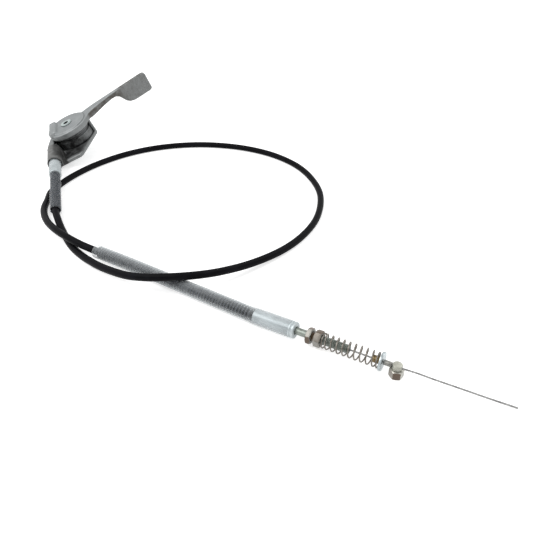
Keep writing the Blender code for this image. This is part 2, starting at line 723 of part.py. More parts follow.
def make_pivot(frame):
    """Hollow rivet, with its head on the lever and its tail in the housing, and the friction washer."""
    head_bottom = SEAT
    head_top = head_bottom + RIVET_HEAD_HEIGHT
    tail_top = RIVET_RECESS - HOUSING_DEPTH - SEAT
    tail_bottom = tail_top - RIVET_HEAD_HEIGHT
    edge = RIVET_HEAD_HEIGHT / 3
    profile = [
        (RIVET_HOLE_RADIUS, head_top),
        (RIVET_HOLE_RADIUS, tail_bottom),
        (RIVET_TAIL_RADIUS - edge, tail_bottom),
        (RIVET_TAIL_RADIUS, tail_bottom + edge),
        (RIVET_TAIL_RADIUS, tail_top),
        (PIVOT_RADIUS, tail_top),
        (PIVOT_RADIUS, head_bottom),
        (RIVET_HEAD_RADIUS, head_bottom),
        (RIVET_HEAD_RADIUS, head_top - edge),
        (RIVET_HEAD_RADIUS - edge, head_top),
    ]
    mesh_object("pivot_rivet", turned(profile, SIDES_MEDIUM), zinc_plate(), frame)
    washer_bottom = WASHER_TOP - FRICTION_WASHER_THICKNESS
    washer = [
        (LEVER_BORE_RADIUS, WASHER_TOP),
        (LEVER_BORE_RADIUS, washer_bottom),
        (FRICTION_WASHER_RADIUS, washer_bottom),
        (FRICTION_WASHER_RADIUS, WASHER_TOP),
    ]
    mesh_object("friction_washer", turned(washer, SIDES_MEDIUM), spring_steel(), frame)


def ferrule_outline(rear, head_start, head_end, body_radius, head_radius, front_bore):
    """Section of a ferrule: conduit seat at the rear, wire bore, and a head at the front."""
    seat = CONDUIT_RADIUS + SEAT
    toward = math.copysign(1.0, head_end - rear)
    depth = rear + toward * CONDUIT_SEAT_DEPTH
    outline = [
        (rear, seat),
        (rear, body_radius - COLLAR_CHAMFER / 2),
        (rear + toward * COLLAR_CHAMFER, body_radius),
        (head_start, body_radius),
        (head_start, head_radius - COLLAR_CHAMFER / 2),
        (head_start + toward * COLLAR_CHAMFER / 2, head_radius),
        (head_end - toward * COLLAR_CHAMFER, head_radius),
        (head_end, head_radius - COLLAR_CHAMFER),
    ]
    if front_bore > WIRE_BORE_RADIUS:
        front_seat = head_end - toward * TUBE_SEAT_DEPTH
        outline += [(head_end, front_bore), (front_seat, front_bore), (front_seat, WIRE_BORE_RADIUS)]
    else:
        outline += [(head_end, WIRE_BORE_RADIUS)]
    return outline + [(depth, WIRE_BORE_RADIUS), (depth, seat)]


def make_lever_end(outlet):
    """Ferrule in the housing's socket, with the guard spring and the clear sleeve behind it."""
    section = ferrule_outline(LEVER_FERRULE_LENGTH, 0.0, -SOCKET_DEPTH, LEVER_FERRULE_RADIUS,
                              LEVER_FERRULE_PLUG_RADIUS, WIRE_BORE_RADIUS)
    mesh_object("lever_ferrule", tube_on_axis(section, SIDES_MEDIUM), zinc_plate(), outlet)
    guard = guard_outline(LEVER_FERRULE_LENGTH + SEAT, LEVER_SLEEVE_LENGTH - GUARD_SETBACK, 1)
    mesh_object("lever_guard_spring", tube_on_axis(guard, GUARD_SIDES), guard_plastic(), outlet)
    sleeve = sleeve_outline(LEVER_SLEEVE_LENGTH, LEVER_FERRULE_LENGTH, SEAT, LEVER_FERRULE_RADIUS + SEAT, 1)
    mesh_object("lever_sleeve", tube_on_axis(sleeve, SLEEVE_SIDES), clear_sleeve(), outlet)
    mesh_object("outlet_wire", outlet_wire_shape(), wire_steel(), outlet)


def outlet_wire_shape():
    """Wire from the drum to the ferrule, where it turns into the outlet's axis."""
    places = ((-OUTLET_OFFSET, OUTLET_FRONT + SEAT), (0.0, -SOCKET_DEPTH), (0.0, CONDUIT_SEAT))
    return rings_to_shape([circle_points(Vector((0.0, across, along)), X_AXIS, Y_AXIS,
                                         LEVER_WIRE_RADIUS, SIDES_SMALL) for across, along in places])


def conduit_curve():
    """Smooth curve of the whole conduit, from its seat in one ferrule to its seat in the other."""
    outlet = outlet_frame_matrix()
    adjuster = adjuster_frame_matrix()
    straight = (CONDUIT_SEAT, LEVER_FERRULE_LENGTH, LEVER_SLEEVE_LENGTH / 2, LEVER_SLEEVE_LENGTH)
    first = [outlet @ (Z_AXIS * distance) for distance in straight]
    last = [adjuster @ (Z_AXIS * distance) for distance in (0.0, CONDUIT_SEAT_DEPTH - SEAT)]
    middle = [Vector(point) * MM for point in CONDUIT_POINTS]
    return smooth_route(first + middle + last)


def make_cord(name, curve, radius, spacing, look):
    """Round cord as a curve object with filled ends, a point every few diameters."""
    lengths = route_lengths(curve)
    count = max(2, round(lengths[-1] / spacing))
    data = bpy.data.curves.new(name, "CURVE")
    data.dimensions = "3D"
    data.bevel_depth = radius
    data.bevel_resolution = CORD_BEVEL_RESOLUTION
    data.use_fill_caps = True
    spline = data.splines.new("POLY")
    spline.points.add(count)
    for index in range(count + 1):
        place, _ = point_along(curve, lengths, lengths[-1] * index / count)
        spline.points[index].co = (*place, 1.0)
    data.materials.append(look)
    made = bpy.data.objects.new(name, data)
    bpy.context.scene.collection.objects.link(made)
    return made


def make_guard_end(curve):
    """Guard spring and clear sleeve on the conduit, behind the adjuster's ferrule."""
    ferrule_rear = route_lengths(curve)[-1] - (CONDUIT_SEAT_DEPTH - SEAT)
    sleeve_rear = ferrule_rear - GUARD_SLEEVE_LENGTH
    guard = guard_outline(sleeve_rear + GUARD_SETBACK, ferrule_rear - SEAT, LENGTHWISE_STEPS)
    mesh_object("guard_spring", turned_along(curve, guard, GUARD_SIDES), guard_plastic())
    sleeve = sleeve_outline(sleeve_rear, ferrule_rear, ferrule_rear + FERRULE_LENGTH,
                            FERRULE_RADIUS + SEAT, LENGTHWISE_STEPS)
    mesh_object("guard_sleeve", turned_along(curve, sleeve, SLEEVE_SIDES), clear_sleeve())


def make_adjuster(frame):
    """Ferrule, threaded tube and the two lock nuts, all on the adjuster's axis."""
    section = ferrule_outline(0.0, COLLAR_START, COLLAR_END, FERRULE_RADIUS, COLLAR_RADIUS,
                              TUBE_NECK_RADIUS + SEAT)
    mesh_object("adjuster_ferrule", tube_on_axis(section, SIDES_MEDIUM), zinc_plate(), frame)
    rear = COLLAR_END - TUBE_SEAT_DEPTH + SEAT
    edge = COLLAR_CHAMFER
    tube = [
        (rear, WIRE_BORE_RADIUS), (rear, TUBE_NECK_RADIUS), (THREAD_START, TUBE_NECK_RADIUS),
        (THREAD_START + edge, THREAD_RADIUS), (THREAD_END - edge, THREAD_RADIUS),
        (THREAD_END, THREAD_RADIUS - edge), (THREAD_END, WIRE_BORE_RADIUS),
    ]
    mesh_object("adjuster_tube", tube_on_axis(tube, SIDES_MEDIUM), zinc_plate(), frame)
    nuts = (("lock_nut_inner", THIN_NUT_START, THIN_NUT_END, 0.0),
            ("lock_nut_outer", FULL_NUT_START, FULL_NUT_END, NUT_TURN))
    for name, start, end, turn in nuts:
        nut = hex_piece(name, NUT_ACROSS_FLATS, start, end, turn, zinc_plate(), frame)
        bore(nut, name + "_bore", THREAD_RADIUS + SEAT, 0.0, CLAMP_CENTRE, frame)


def make_spring(frame):
    """Return spring: a round-wire coil with its end turns closed."""
    steps = round(SPRING_TURNS * SPRING_STEPS)
    closed_pitch = 2 * SPRING_WIRE_RADIUS + SEAT
    length = SPRING_LENGTH - 2 * SPRING_WIRE_RADIUS
    open_turns = SPRING_TURNS - 2
    open_pitch = (length - 2 * closed_pitch) / open_turns
    centre = []
    for step in range(steps + 1):
        turn = SPRING_TURNS * step / steps
        rise = closed_pitch * min(turn, 1.0) + open_pitch * min(max(turn - 1.0, 0.0), open_turns)
        rise += closed_pitch * max(turn - 1.0 - open_turns, 0.0)
        angle = 2 * math.pi * turn
        outward = Vector((math.cos(angle), math.sin(angle), 0.0))
        centre.append(outward * SPRING_RADIUS + Z_AXIS * (SPRING_START + SPRING_WIRE_RADIUS + rise))
    rings = []
    for index, place in enumerate(centre):
        before = centre[max(index - 1, 0)]
        after = centre[min(index + 1, steps)]
        direction = (after - before).normalized()
        outward = Vector((place.x, place.y, 0.0)).normalized()
        up = direction.cross(outward).normalized()
        rings.append(circle_points(place, up.cross(direction), up, SPRING_WIRE_RADIUS, SPRING_SIDES))
    mesh_object("return_spring", rings_to_shape(rings), spring_steel(), frame)


def ring_piece(name, start, end, radius, bore_radius, edge, look, frame):
    """Washer, bush or spacer on the adjuster's axis, with its outer edges broken."""
    outline = [
        (start, bore_radius), (start, radius - edge), (start + edge, radius),
        (end - edge, radius), (end, radius - edge), (end, bore_radius),
    ]
    mesh_object(name, tube_on_axis(outline, SIDES_MEDIUM), look, frame)


def make_wire_end(frame):
    """Bush, washer, spacer, cable clamp with its screw, and the bare inner wire."""
    fit = WIRE_RADIUS + SEAT
    edge = COLLAR_CHAMFER / 2
    ring_piece("spring_bush", BUSH_START, SPRING_END, BUSH_RADIUS, fit, edge, brass(), frame)
    ring_piece("spring_washer", WASHER_START, WASHER_END, WASHER_RADIUS, fit, edge, zinc_plate(), frame)
    ring_piece("spacer_tube", SPACER_START, SPACER_END, SPACER_RADIUS, fit, edge, zinc_plate(), frame)
    centre = frame.matrix_world @ (Z_AXIS * CLAMP_CENTRE)
    heading = Matrix.Rotation(ADJUSTER_HEADING, 4, "Z")
    upright = frame_empty("clamp_frame", Matrix.Translation(centre) @ heading)
    edge = CLAMP_CHAMFER
    post = turned_solid([
        (CLAMP_RADIUS - edge, -CLAMP_BELOW_WIRE), (CLAMP_RADIUS, edge - CLAMP_BELOW_WIRE),
        (CLAMP_RADIUS, CLAMP_ABOVE_WIRE - edge), (CLAMP_RADIUS - edge, CLAMP_ABOVE_WIRE)], SIDES_MEDIUM)
    clamp = mesh_object("cable_clamp", post, zinc_plate(), upright)
    through = turned_solid([(fit, -2 * CLAMP_RADIUS), (fit, 2 * CLAMP_RADIUS)], SIDES_SMALL)
    along_wire = (0.0, math.pi / 2 - ADJUSTER_RISE, 0.0)
    combine(clamp, cutter("wire_hole_tool", through, upright, rotation=along_wire), "DIFFERENCE")
    bore(clamp, "screw_bore", SCREW_SHANK_RADIUS + SEAT, -2 * CLAMP_RADIUS, -WIRE_RADIUS, upright)
    top = -CLAMP_BELOW_WIRE - SEAT
    screw = hex_piece("clamp_screw", SCREW_ACROSS_FLATS, top - SCREW_HEAD_HEIGHT, top, SCREW_TURN,
                      zinc_plate(), upright)
    shank = turned_solid([(SCREW_SHANK_RADIUS, top - SCREW_HEAD_HEIGHT / 2),
                          (SCREW_SHANK_RADIUS, -WIRE_RADIUS - SEAT)], SIDES_SMALL)
    combine(screw, cutter("screw_shank_tool", shank, upright), "UNION")


def wire_curve(frame):
    """Smooth curve of the inner wire, from inside the threaded tube to its free tip."""
    start = THREAD_END - BUSH_LENGTH
    places = (start, (start + CLAMP_CENTRE) / 2, CLAMP_CENTRE, CLAMP_CENTRE + CLAMP_RADIUS)
    straight = [frame.matrix_world @ (Z_AXIS * distance) for distance in places]
    tail = [Vector(point) * MM for point in WIRE_TAIL_POINTS]
    return smooth_route(straight + tail)


def build():
    """Make the whole control cable in an emptied scene."""
    for old in list(bpy.data.objects):
        bpy.data.objects.remove(old, do_unlink=True)
    lever_frame = frame_empty("lever_frame", lever_frame_matrix())
    outlet_frame = frame_empty("outlet_frame", outlet_frame_matrix())
    adjuster_frame = frame_empty("adjuster_frame", adjuster_frame_matrix())
    bpy.context.view_layer.update()
    make_housing(lever_frame, outlet_frame)
    make_lever(lever_frame)
    make_pivot(lever_frame)
    make_lever_end(outlet_frame)
    curve = conduit_curve()
    make_cord("conduit", curve, CONDUIT_RADIUS, CORD_POINT_SPACING, conduit_plastic())
    make_guard_end(curve)
    make_adjuster(adjuster_frame)
    make_spring(adjuster_frame)
    make_wire_end(adjuster_frame)
    make_cord("inner_wire", wire_curve(adjuster_frame), WIRE_RADIUS, WIRE_POINT_SPACING, wire_steel())


build()
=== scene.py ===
"""Looks of the hand throttle control cable: finishes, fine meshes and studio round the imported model."""
import bisect
import math

import bmesh
import bpy
from mathutils import Matrix, Vector


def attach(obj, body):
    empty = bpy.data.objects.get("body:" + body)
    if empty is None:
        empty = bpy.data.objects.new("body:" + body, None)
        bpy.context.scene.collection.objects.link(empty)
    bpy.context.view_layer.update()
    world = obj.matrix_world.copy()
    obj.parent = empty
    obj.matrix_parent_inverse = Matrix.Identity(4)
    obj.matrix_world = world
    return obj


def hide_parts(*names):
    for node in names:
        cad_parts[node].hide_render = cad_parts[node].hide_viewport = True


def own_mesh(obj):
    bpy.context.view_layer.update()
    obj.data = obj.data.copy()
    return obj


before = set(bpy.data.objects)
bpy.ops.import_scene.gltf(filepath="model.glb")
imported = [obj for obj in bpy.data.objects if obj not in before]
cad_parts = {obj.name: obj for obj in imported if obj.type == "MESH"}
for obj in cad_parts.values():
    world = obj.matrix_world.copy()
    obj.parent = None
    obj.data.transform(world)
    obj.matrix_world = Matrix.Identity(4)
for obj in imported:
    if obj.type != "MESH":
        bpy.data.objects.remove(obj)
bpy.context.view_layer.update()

MM = 0.001
X_AXIS = Vector((1.0, 0.0, 0.0))
Y_AXIS = Vector((0.0, 1.0, 0.0))
Z_AXIS = Vector((0.0, 0.0, 1.0))

# Photograph's viewpoint
IMAGE_SIZE = 560
FOCAL_PIXELS = 523.0
SENSOR_WIDTH = 36.0
CAMERA_PLACE = Vector((89.0, -419.1, 236.0)) * MM
CAMERA_PITCH = math.radians(36.6)

# Frames of the two ends, as in the construction
SEAT = 0.3 * MM
PIVOT_PLACE = Vector((-142.0, 135.6, 34.8)) * MM
OUTLET_HEADING = math.radians(18.6)
OUTLET_DIP = math.radians(3.2)
HOUSING_ROLL = math.radians(-21.3)
ADJUSTER_PLACE = Vector((72.1, -150.0, 6.0)) * MM
ADJUSTER_HEADING = math.radians(-29.15)
ADJUSTER_RISE = math.radians(0.86)

# Lever end
DRUM_WIRE_RADIUS = 19.1 * MM
WIRE_LEVEL = -11.0 * MM
DISC_RADIUS = 21.0 * MM
PLATE_BOTTOM = -7.0 * MM
HOUSING_FRONT = -40.0 * MM
OUTLET_FRONT = HOUSING_FRONT - 14.5 * MM
OUTLET_X = -DRUM_WIRE_RADIUS - 2.5 * MM
HOUSING_DEPTH = 24.0 * MM
ARM_HEADING = math.radians(17.7)
RIVET_HOLE_RADIUS = 2.5 * MM
RIVET_HEAD_RADIUS = 6.1 * MM
RIVET_HEAD_HEIGHT = 0.9 * MM
RIVET_TAIL_RADIUS = 6.4 * MM
RIVET_RECESS = 1.7 * MM
PIVOT_RADIUS = 3.3 * MM
SOCKET_DEPTH = 13.0 * MM
LEVER_FERRULE_PLUG_RADIUS = 6.0 * MM
LEVER_FERRULE_RADIUS = 5.6 * MM
LEVER_FERRULE_LENGTH = 26.0 * MM
LEVER_SLEEVE_LENGTH = 96.0 * MM
CONDUIT_SEAT_DEPTH = 18.0 * MM
CONDUIT_SEAT = LEVER_FERRULE_LENGTH - CONDUIT_SEAT_DEPTH + SEAT

# Cord, guard springs and sleeves
CONDUIT_RADIUS = 3.0 * MM
WIRE_RADIUS = 0.6 * MM
WIRE_BORE_RADIUS = 1.1 * MM
ROUTE_SAMPLES = 12
GUARD_PITCH = 2.5 * MM
GUARD_CENTRE_RADIUS = 4.0 * MM
GUARD_WIRE_RADIUS = 0.62 * MM
GUARD_SETBACK = 2.0 * MM
SLEEVE_WALL = 0.4 * MM
SLEEVE_BORE_RADIUS = 4.95 * MM
SLEEVE_TAPER = 2.5 * MM
GUARD_SLEEVE_LENGTH = 150.0 * MM

# Adjuster end, distances along its axis
FERRULE_RADIUS = 5.1 * MM
FERRULE_LENGTH = 27.2 * MM
COLLAR_RADIUS = 5.65 * MM
COLLAR_LENGTH = 3.9 * MM
TUBE_NECK_RADIUS = 2.5 * MM
TUBE_NECK_LENGTH = 7.9 * MM
TUBE_SEAT_DEPTH = 8.0 * MM
THREAD_RADIUS = 2.95 * MM
THREAD_PITCH = 1.0 * MM
THREAD_DEPTH = 0.42 * MM
WIRE_STROKE = DRUM_WIRE_RADIUS * math.radians(45.0)
STOP_CLEARANCE = 0.5 * MM
NUT_ACROSS_FLATS = 10.0 * MM
NUT_CHAMFER_SLOPE = math.tan(math.radians(30.0))
NUT_GAP = 2.1 * MM
THIN_NUT_HEIGHT = 3.4 * MM
FULL_NUT_HEIGHT = 4.8 * MM
NUT_TURN = math.radians(12.0)
SPRING_LENGTH = 38.6 * MM
SPRING_RADIUS = 4.8 * MM
SPRING_WIRE_RADIUS = 0.5 * MM
SPRING_TURNS = 11.0
SPRING_PHASE = 0.22
BUSH_RADIUS = 2.4 * MM
BUSH_LENGTH = 4.6 * MM
WASHER_RADIUS = 6.2 * MM
WASHER_THICKNESS = 1.6 * MM
SPACER_RADIUS = 1.7 * MM
SPACER_LENGTH = 5.1 * MM
CLAMP_RADIUS = 3.15 * MM
CLAMP_ABOVE_WIRE = 2.0 * MM
CLAMP_BELOW_WIRE = 1.6 * MM
SCREW_ACROSS_FLATS = 8.0 * MM
SCREW_HEAD_HEIGHT = 5.6 * MM
SCREW_SHANK_RADIUS = 2.0 * MM
SCREW_TURN = math.radians(20.0)
COLLAR_START = FERRULE_LENGTH + SEAT
COLLAR_END = COLLAR_START + COLLAR_LENGTH
THREAD_START = COLLAR_END + TUBE_NECK_LENGTH
THIN_NUT_START = THREAD_START + 2 * SEAT
THIN_NUT_END = THIN_NUT_START + THIN_NUT_HEIGHT
FULL_NUT_START = THIN_NUT_END + NUT_GAP
FULL_NUT_END = FULL_NUT_START + FULL_NUT_HEIGHT
SPRING_START = FULL_NUT_END + SEAT
SPRING_END = SPRING_START + SPRING_LENGTH
BUSH_START = SPRING_END - BUSH_LENGTH
THREAD_END = BUSH_START - WIRE_STROKE - STOP_CLEARANCE
WASHER_START = SPRING_END + SEAT
WASHER_END = WASHER_START + WASHER_THICKNESS
SPACER_START = WASHER_END + SEAT
SPACER_END = SPACER_START + SPACER_LENGTH
CLAMP_CENTRE = SPACER_END + SEAT + CLAMP_RADIUS

# Fineness of round pieces, cord and castings
FINE_SIDES = 64
HOLE_SIDES = 24
THREAD_SIDES = 40
THREAD_STEPS = 6
SPRING_STEPS = 32
GUARD_STEPS = 26
GUARD_SIDES = 9
STRAND_SIDES = 8
STRAND_STEPS = 14
SLEEVE_SIDES = 48
CORD_BEVEL = 6
CORD_STEP = 3.0 * MM
LEVER_VOXEL = 0.42 * MM
HOUSING_VOXEL = 0.46 * MM

# Small edges and the sleeves' ribs
SHARP_ANGLE = math.radians(40)
LIP_ROUND = 0.15 * MM
RING_ROUND = 0.3 * MM
WIRE_FIT = WIRE_RADIUS + SEAT
SLEEVE_DIP = 0.12 * MM
SLEEVE_PLAIN_LENGTH = 4.0 * MM
ROPE_PITCH = 7.0 * MM
ROPE_STRANDS = 6
SCREW_CONTACT = 0.05 * MM

# Attribute with a piece's coordinates in its own frame, for the grain of its material
LOCAL_PLACE = "local_place"

# Attribute for how brown plated steel has gone, and its value on each flat of a nut or screw head
TARNISH = "tarnish"
FLAT_TARNISH = (0.15, 0.85, 0.45, 0.1, 0.6, 0.95)
END_TARNISH = 0.2
THREAD_TARNISH = 0.1
GAP_TARNISH = 0.95

# Cast detail on the lever
DRUM_BOTTOM = -15.3 * MM
SKIRT_DROP = 4.1 * MM
RIDGE_RISE = 0.9 * MM
DISC_GROOVE_RADIUS = DISC_RADIUS + 0.2 * MM
DISC_GROOVE_DEPTH = 0.55 * MM
DISC_GROOVE_WIDTH = 0.9 * MM
GRIP_START = 73.0 * MM
GRIP_END = 97.0 * MM
GRIP_PITCH = 3.4 * MM
GRIP_FACE = 4.2 * MM
GRIP_DEPTH = 0.22 * MM

# Cast detail on the housing's outlet
LIP_LENGTH = 2.5 * MM
LIP_FLARE = 0.4 * MM
LIP_OUTER_RADIUS = 6.8 * MM

# Bulge of the housing's wall past the wire's way, in plan, and its levels, in millimetres
WALL_PATCH = ((-22.6, 9.0), (-24.2, 4.0), (-25.6, -2.0), (-27.0, -9.0), (-28.3, -17.0), (-28.8, -23.8),
              (-24.5, -23.8), (-23.0, 0.0))
WALL_PATCH_LEVELS = (-23.2, -7.7)

# Studio
FLOOR_SIZE = 6.0
FLOOR_GLOW = 0.6
SKY_STRENGTH = 0.55
KEY_POWER = 5.5
FILL_POWER = 2.0
KEY_PLACE = Vector((-0.5, -0.25, 0.9))
FILL_PLACE = Vector((0.7, 0.3, 0.7))

# Free end of the inner wire, and the conduit's way between its straight ends, in millimetres
WIRE_TAIL_POINTS = (
    (170.5, -203.7, 7.1), (179.0, -207.5, 6.3), (193.4, -213.0, 4.6), (209.0, -218.9, 2.6),
    (223.9, -224.4, 0.9),
)
CONDUIT_POINTS = (
    (-104.2, -22.3, 7.4), (-100.2, -29.8, 6.0), (-96.0, -36.9, 4.8), (-91.7, -43.8, 3.9),
    (-87.5, -50.4, 3.3), (-82.4, -57.8, 3.1), (-76.5, -65.1, 3.1), (-70.9, -71.0, 3.2),
    (-65.0, -77.2, 3.8), (-59.2, -82.7, 4.6), (-53.6, -88.0, 5.5), (-48.2, -92.8, 6.5),
    (-43.2, -96.8, 7.4), (-38.2, -100.7, 8.4), (-32.5, -104.8, 9.5), (-26.9, -108.6, 10.6),
    (-19.9, -112.5, 11.9), (-11.8, -115.5, 13.2), (-4.1, -117.3, 14.1), (6.8, -117.7, 14.6),
    (18.0, -117.2, 14.9), (31.1, -112.7, 13.2), (44.6, -104.4, 10.0), (65.9, -88.6, 6.0),
    (89.0, -67.6, 3.6), (105.7, -46.7, 3.1), (120.6, -16.4, 3.1), (127.3, 20.9, 3.1),
    (125.6, 47.9, 3.1), (114.9, 82.1, 3.1), (99.7, 106.8, 3.1), (74.0, 130.9, 3.1),
    (39.0, 148.1, 3.1), (-2.7, 154.7, 3.1), (-44.0, 147.7, 3.1), (-77.3, 130.0, 3.1),
    (-103.3, 104.0, 3.1), (-120.3, 76.2, 3.1), (-129.4, 50.9, 3.1), (-131.9, 36.8, 3.1),
    (-129.0, 18.4, 3.3), (-127.7, 10.4, 3.8), (-125.9, 3.0, 4.4), (-123.5, -4.2, 5.0),
    (-119.5, -13.2, 5.9), (-115.1, -21.3, 6.8), (-110.1, -29.2, 7.8), (-104.3, -36.7, 8.7),
    (-96.4, -45.7, 9.7), (-87.5, -53.7, 10.0), (-79.5, -59.6, 9.5), (-71.2, -64.8, 8.6),
    (-62.4, -69.4, 7.6), (-26.5, -89.1, 6.1), (3.9, -107.7, 5.9), (32.0, -125.2, 5.9),
    (57.0, -140.7, 5.95),
)


def spoke(radius, angle, across=X_AXIS, up=Y_AXIS):
    """Vector of a given length, at an angle in the plane of two unit vectors."""
    return across * (radius * math.cos(angle)) + up * (radius * math.sin(angle))


def circle_points(centre, across, up, radius, sides):
    """Points of a circle about a centre, in the plane of two unit vectors."""
    return [centre + spoke(radius, 2 * math.pi * k / sides, across, up) for k in range(sides)]


def axes_matrix(place, x_axis, z_axis):
    """Frame at a place from its x and z axes."""
    y_axis = z_axis.cross(x_axis)
    turn = Matrix((x_axis, y_axis, z_axis)).transposed().to_4x4()
    return Matrix.Translation(place) @ turn


# Lever and housing: x towards the arm side, z along the pivot
LEVER_TURN = Matrix.Rotation(OUTLET_HEADING, 4, "Z") @ Matrix.Rotation(OUTLET_DIP, 4, "X")
LEVER_FRAME = Matrix.Translation(PIVOT_PLACE) @ LEVER_TURN @ Matrix.Rotation(HOUSING_ROLL, 4, "Y")

# Outlet face: z runs out along the conduit
OUTLET_FRAME = LEVER_FRAME @ axes_matrix(Vector((OUTLET_X, OUTLET_FRONT, WIRE_LEVEL)), Z_AXIS, -Y_AXIS)

# Rear end of the adjuster's ferrule: z along the adjuster, x up
ADJUSTER_TURN = Matrix.Rotation(ADJUSTER_HEADING, 4, "Z") @ Matrix.Rotation(-ADJUSTER_RISE, 4, "Y")
ADJUSTER_FRAME = (Matrix.Translation(ADJUSTER_PLACE) @ ADJUSTER_TURN
                  @ axes_matrix(Vector(), Z_AXIS, X_AXIS))

# Clamp post: z up, x along the wire seen from above
CLAMP_FRAME = (Matrix.Translation(ADJUSTER_FRAME @ (Z_AXIS * CLAMP_CENTRE))
               @ Matrix.Rotation(ADJUSTER_HEADING, 4, "Z"))


def smooth_route(points):
    """Centripetal Catmull-Rom curve through route points, as a list of close points."""
    ends = [points[0] * 2 - points[1], *points, points[-1] * 2 - points[-2]]
    curve = []
    for index in range(1, len(ends) - 2):
        p0, p1, p2, p3 = ends[index - 1:index + 3]
        t1 = math.sqrt((p1 - p0).length)
        t2 = t1 + math.sqrt((p2 - p1).length)
        t3 = t2 + math.sqrt((p3 - p2).length)
        for step in range(ROUTE_SAMPLES):
            t = t1 + (t2 - t1) * step / ROUTE_SAMPLES
            a1 = p0 * ((t1 - t) / t1) + p1 * (t / t1)
            a2 = p1 * ((t2 - t) / (t2 - t1)) + p2 * ((t - t1) / (t2 - t1))
            a3 = p2 * ((t3 - t) / (t3 - t2)) + p3 * ((t - t2) / (t3 - t2))
            b1 = a1 * ((t2 - t) / t2) + a2 * (t / t2)
            b2 = a2 * ((t3 - t) / (t3 - t1)) + a3 * ((t - t1) / (t3 - t1))
            curve.append(b1 * ((t2 - t) / (t2 - t1)) + b2 * ((t - t1) / (t2 - t1)))
    curve.append(points[-1].copy())
    return curve


def route_lengths(curve):
    """Distance along a curve of each of its points."""
    lengths = [0.0]
    for before, after in zip(curve, curve[1:]):
        lengths.append(lengths[-1] + (after - before).length)
    return lengths


def point_along(curve, lengths, distance):
    """Point and direction at a distance along a curve; beyond its ends it goes on straight."""
    index = bisect.bisect_left(lengths, distance, 1, len(curve) - 1)
    step = curve[index] - curve[index - 1]
    share = (distance - lengths[index - 1]) / (lengths[index] - lengths[index - 1])
    return curve[index - 1] + step * share, step.normalized()


def route_frame(curve, lengths, distance):
    """Centre, sideways and upward directions at a distance along a lying curve."""
    centre, direction = point_along(curve, lengths, distance)
    side = direction.cross(Z_AXIS).normalized()
    return centre, side, side.cross(direction)


class Shading:
    """Principled material, in linear colours, and short names for its nodes."""

    def __init__(self, name, color, roughness, metallic=0.0, alpha=1.0, coat=0.0, baked=True):
        self.look = bpy.data.materials.new(name)
        self.look.use_nodes = True
        self.tree = self.look.node_tree
        self.shader = self.tree.nodes["Principled BSDF"]
        for socket, value in (("Base Color", (*color, 1.0)), ("Roughness", roughness),
                              ("Metallic", metallic), ("Alpha", alpha), ("Coat Weight", coat)):
            self.constant(socket, value)
        if baked:
            self.place = self.node("ShaderNodeAttribute", attribute_name=LOCAL_PLACE).outputs["Vector"]
        else:
            self.place = self.node("ShaderNodeTexCoord").outputs["Object"]

    def constant(self, name, value):
        self.shader.inputs[name].default_value = value

    def node(self, kind, inputs=(), **settings):
        """Node with some settings, and input values by name."""
        made = self.tree.nodes.new(kind)
        for name, value in settings.items():
            setattr(made, name, value)
        for name in inputs:
            made.inputs[name].default_value = inputs[name]
        return made

    def link(self, source, target):
        self.tree.links.new(source, target)

    def scaled(self, scale):
        """Object coordinates stretched by a scale for each axis."""
        mapping = self.node("ShaderNodeMapping", {"Scale": scale})
        self.link(self.place, mapping.inputs["Vector"])
        return mapping.outputs["Vector"]

    def noise(self, size, detail=4.0, rough=0.55, stretch=(1.0, 1.0, 1.0)):
        """Noise whose grain has a real size in metres."""
        made = self.node("ShaderNodeTexNoise", {"Scale": 1.0, "Detail": detail, "Roughness": rough})
        self.link(self.scaled([axis / size for axis in stretch]), made.inputs["Vector"])
        return made.outputs["Fac"]

    def ramp(self, source, stops):
        """Colour ramp with (position, colour) stops."""
        made = self.node("ShaderNodeValToRGB")
        elements = made.color_ramp.elements
        while len(elements) < len(stops):
            elements.new(0.5)
        for element, (position, color) in zip(elements, stops):
            element.position = position
            element.color = (*color, 1.0)
        self.link(source, made.inputs["Fac"])
        return made.outputs["Color"]

    def spread(self, source, low=0.0, high=1.0, start=0.3, end=0.7):
        """Value spread from low to high as the source goes from start to end."""
        made = self.node("ShaderNodeMapRange",
                         {"From Min": start, "From Max": end, "To Min": low, "To Max": high})
        self.link(source, made.inputs["Value"])
        return made.outputs["Result"]

    def mix(self, factor, first, second):
        """Mix of two colours, each an output or a plain colour."""
        made = self.node("ShaderNodeMix", data_type="RGBA")
        for socket, value in ((made.inputs[6], first), (made.inputs[7], second)):
            if isinstance(value, tuple):
                socket.default_value = (*value, 1.0)
            else:
                self.link(value, socket)
        self.link(factor, made.inputs[0])
        return made.outputs[2]

    def calculate(self, operation, first, second):
        made = self.node("ShaderNodeMath", operation=operation)
        for socket, value in zip(made.inputs, (first, second)):
            if isinstance(value, float):
                socket.default_value = value
            else:
                self.link(value, socket)
        return made.outputs[0]

    def radial(self):
        """Distance from the piece's own z axis."""
        flat = self.node("ShaderNodeVectorMath", {1: (1.0, 1.0, 0.0)}, operation="MULTIPLY")
        self.link(self.place, flat.inputs[0])
        length = self.node("ShaderNodeVectorMath", operation="LENGTH")
        self.link(flat.outputs["Vector"], length.inputs[0])
        return length.outputs["Value"]

    def pointiness(self):
        return self.node("ShaderNodeNewGeometry").outputs["Pointiness"]

    def attribute(self, name):
        return self.node("ShaderNodeAttribute", attribute_name=name).outputs["Fac"]

    def color(self, source):
        self.link(source, self.shader.inputs["Base Color"])

    def roughness(self, source):
        self.link(source, self.shader.inputs["Roughness"])

    def bump(self, height, distance, strength=1.0):
        made = self.node("ShaderNodeBump", {"Distance": distance, "Strength": strength})
        self.link(height, made.inputs["Height"])
        self.link(made.outputs["Normal"], self.shader.inputs["Normal"])


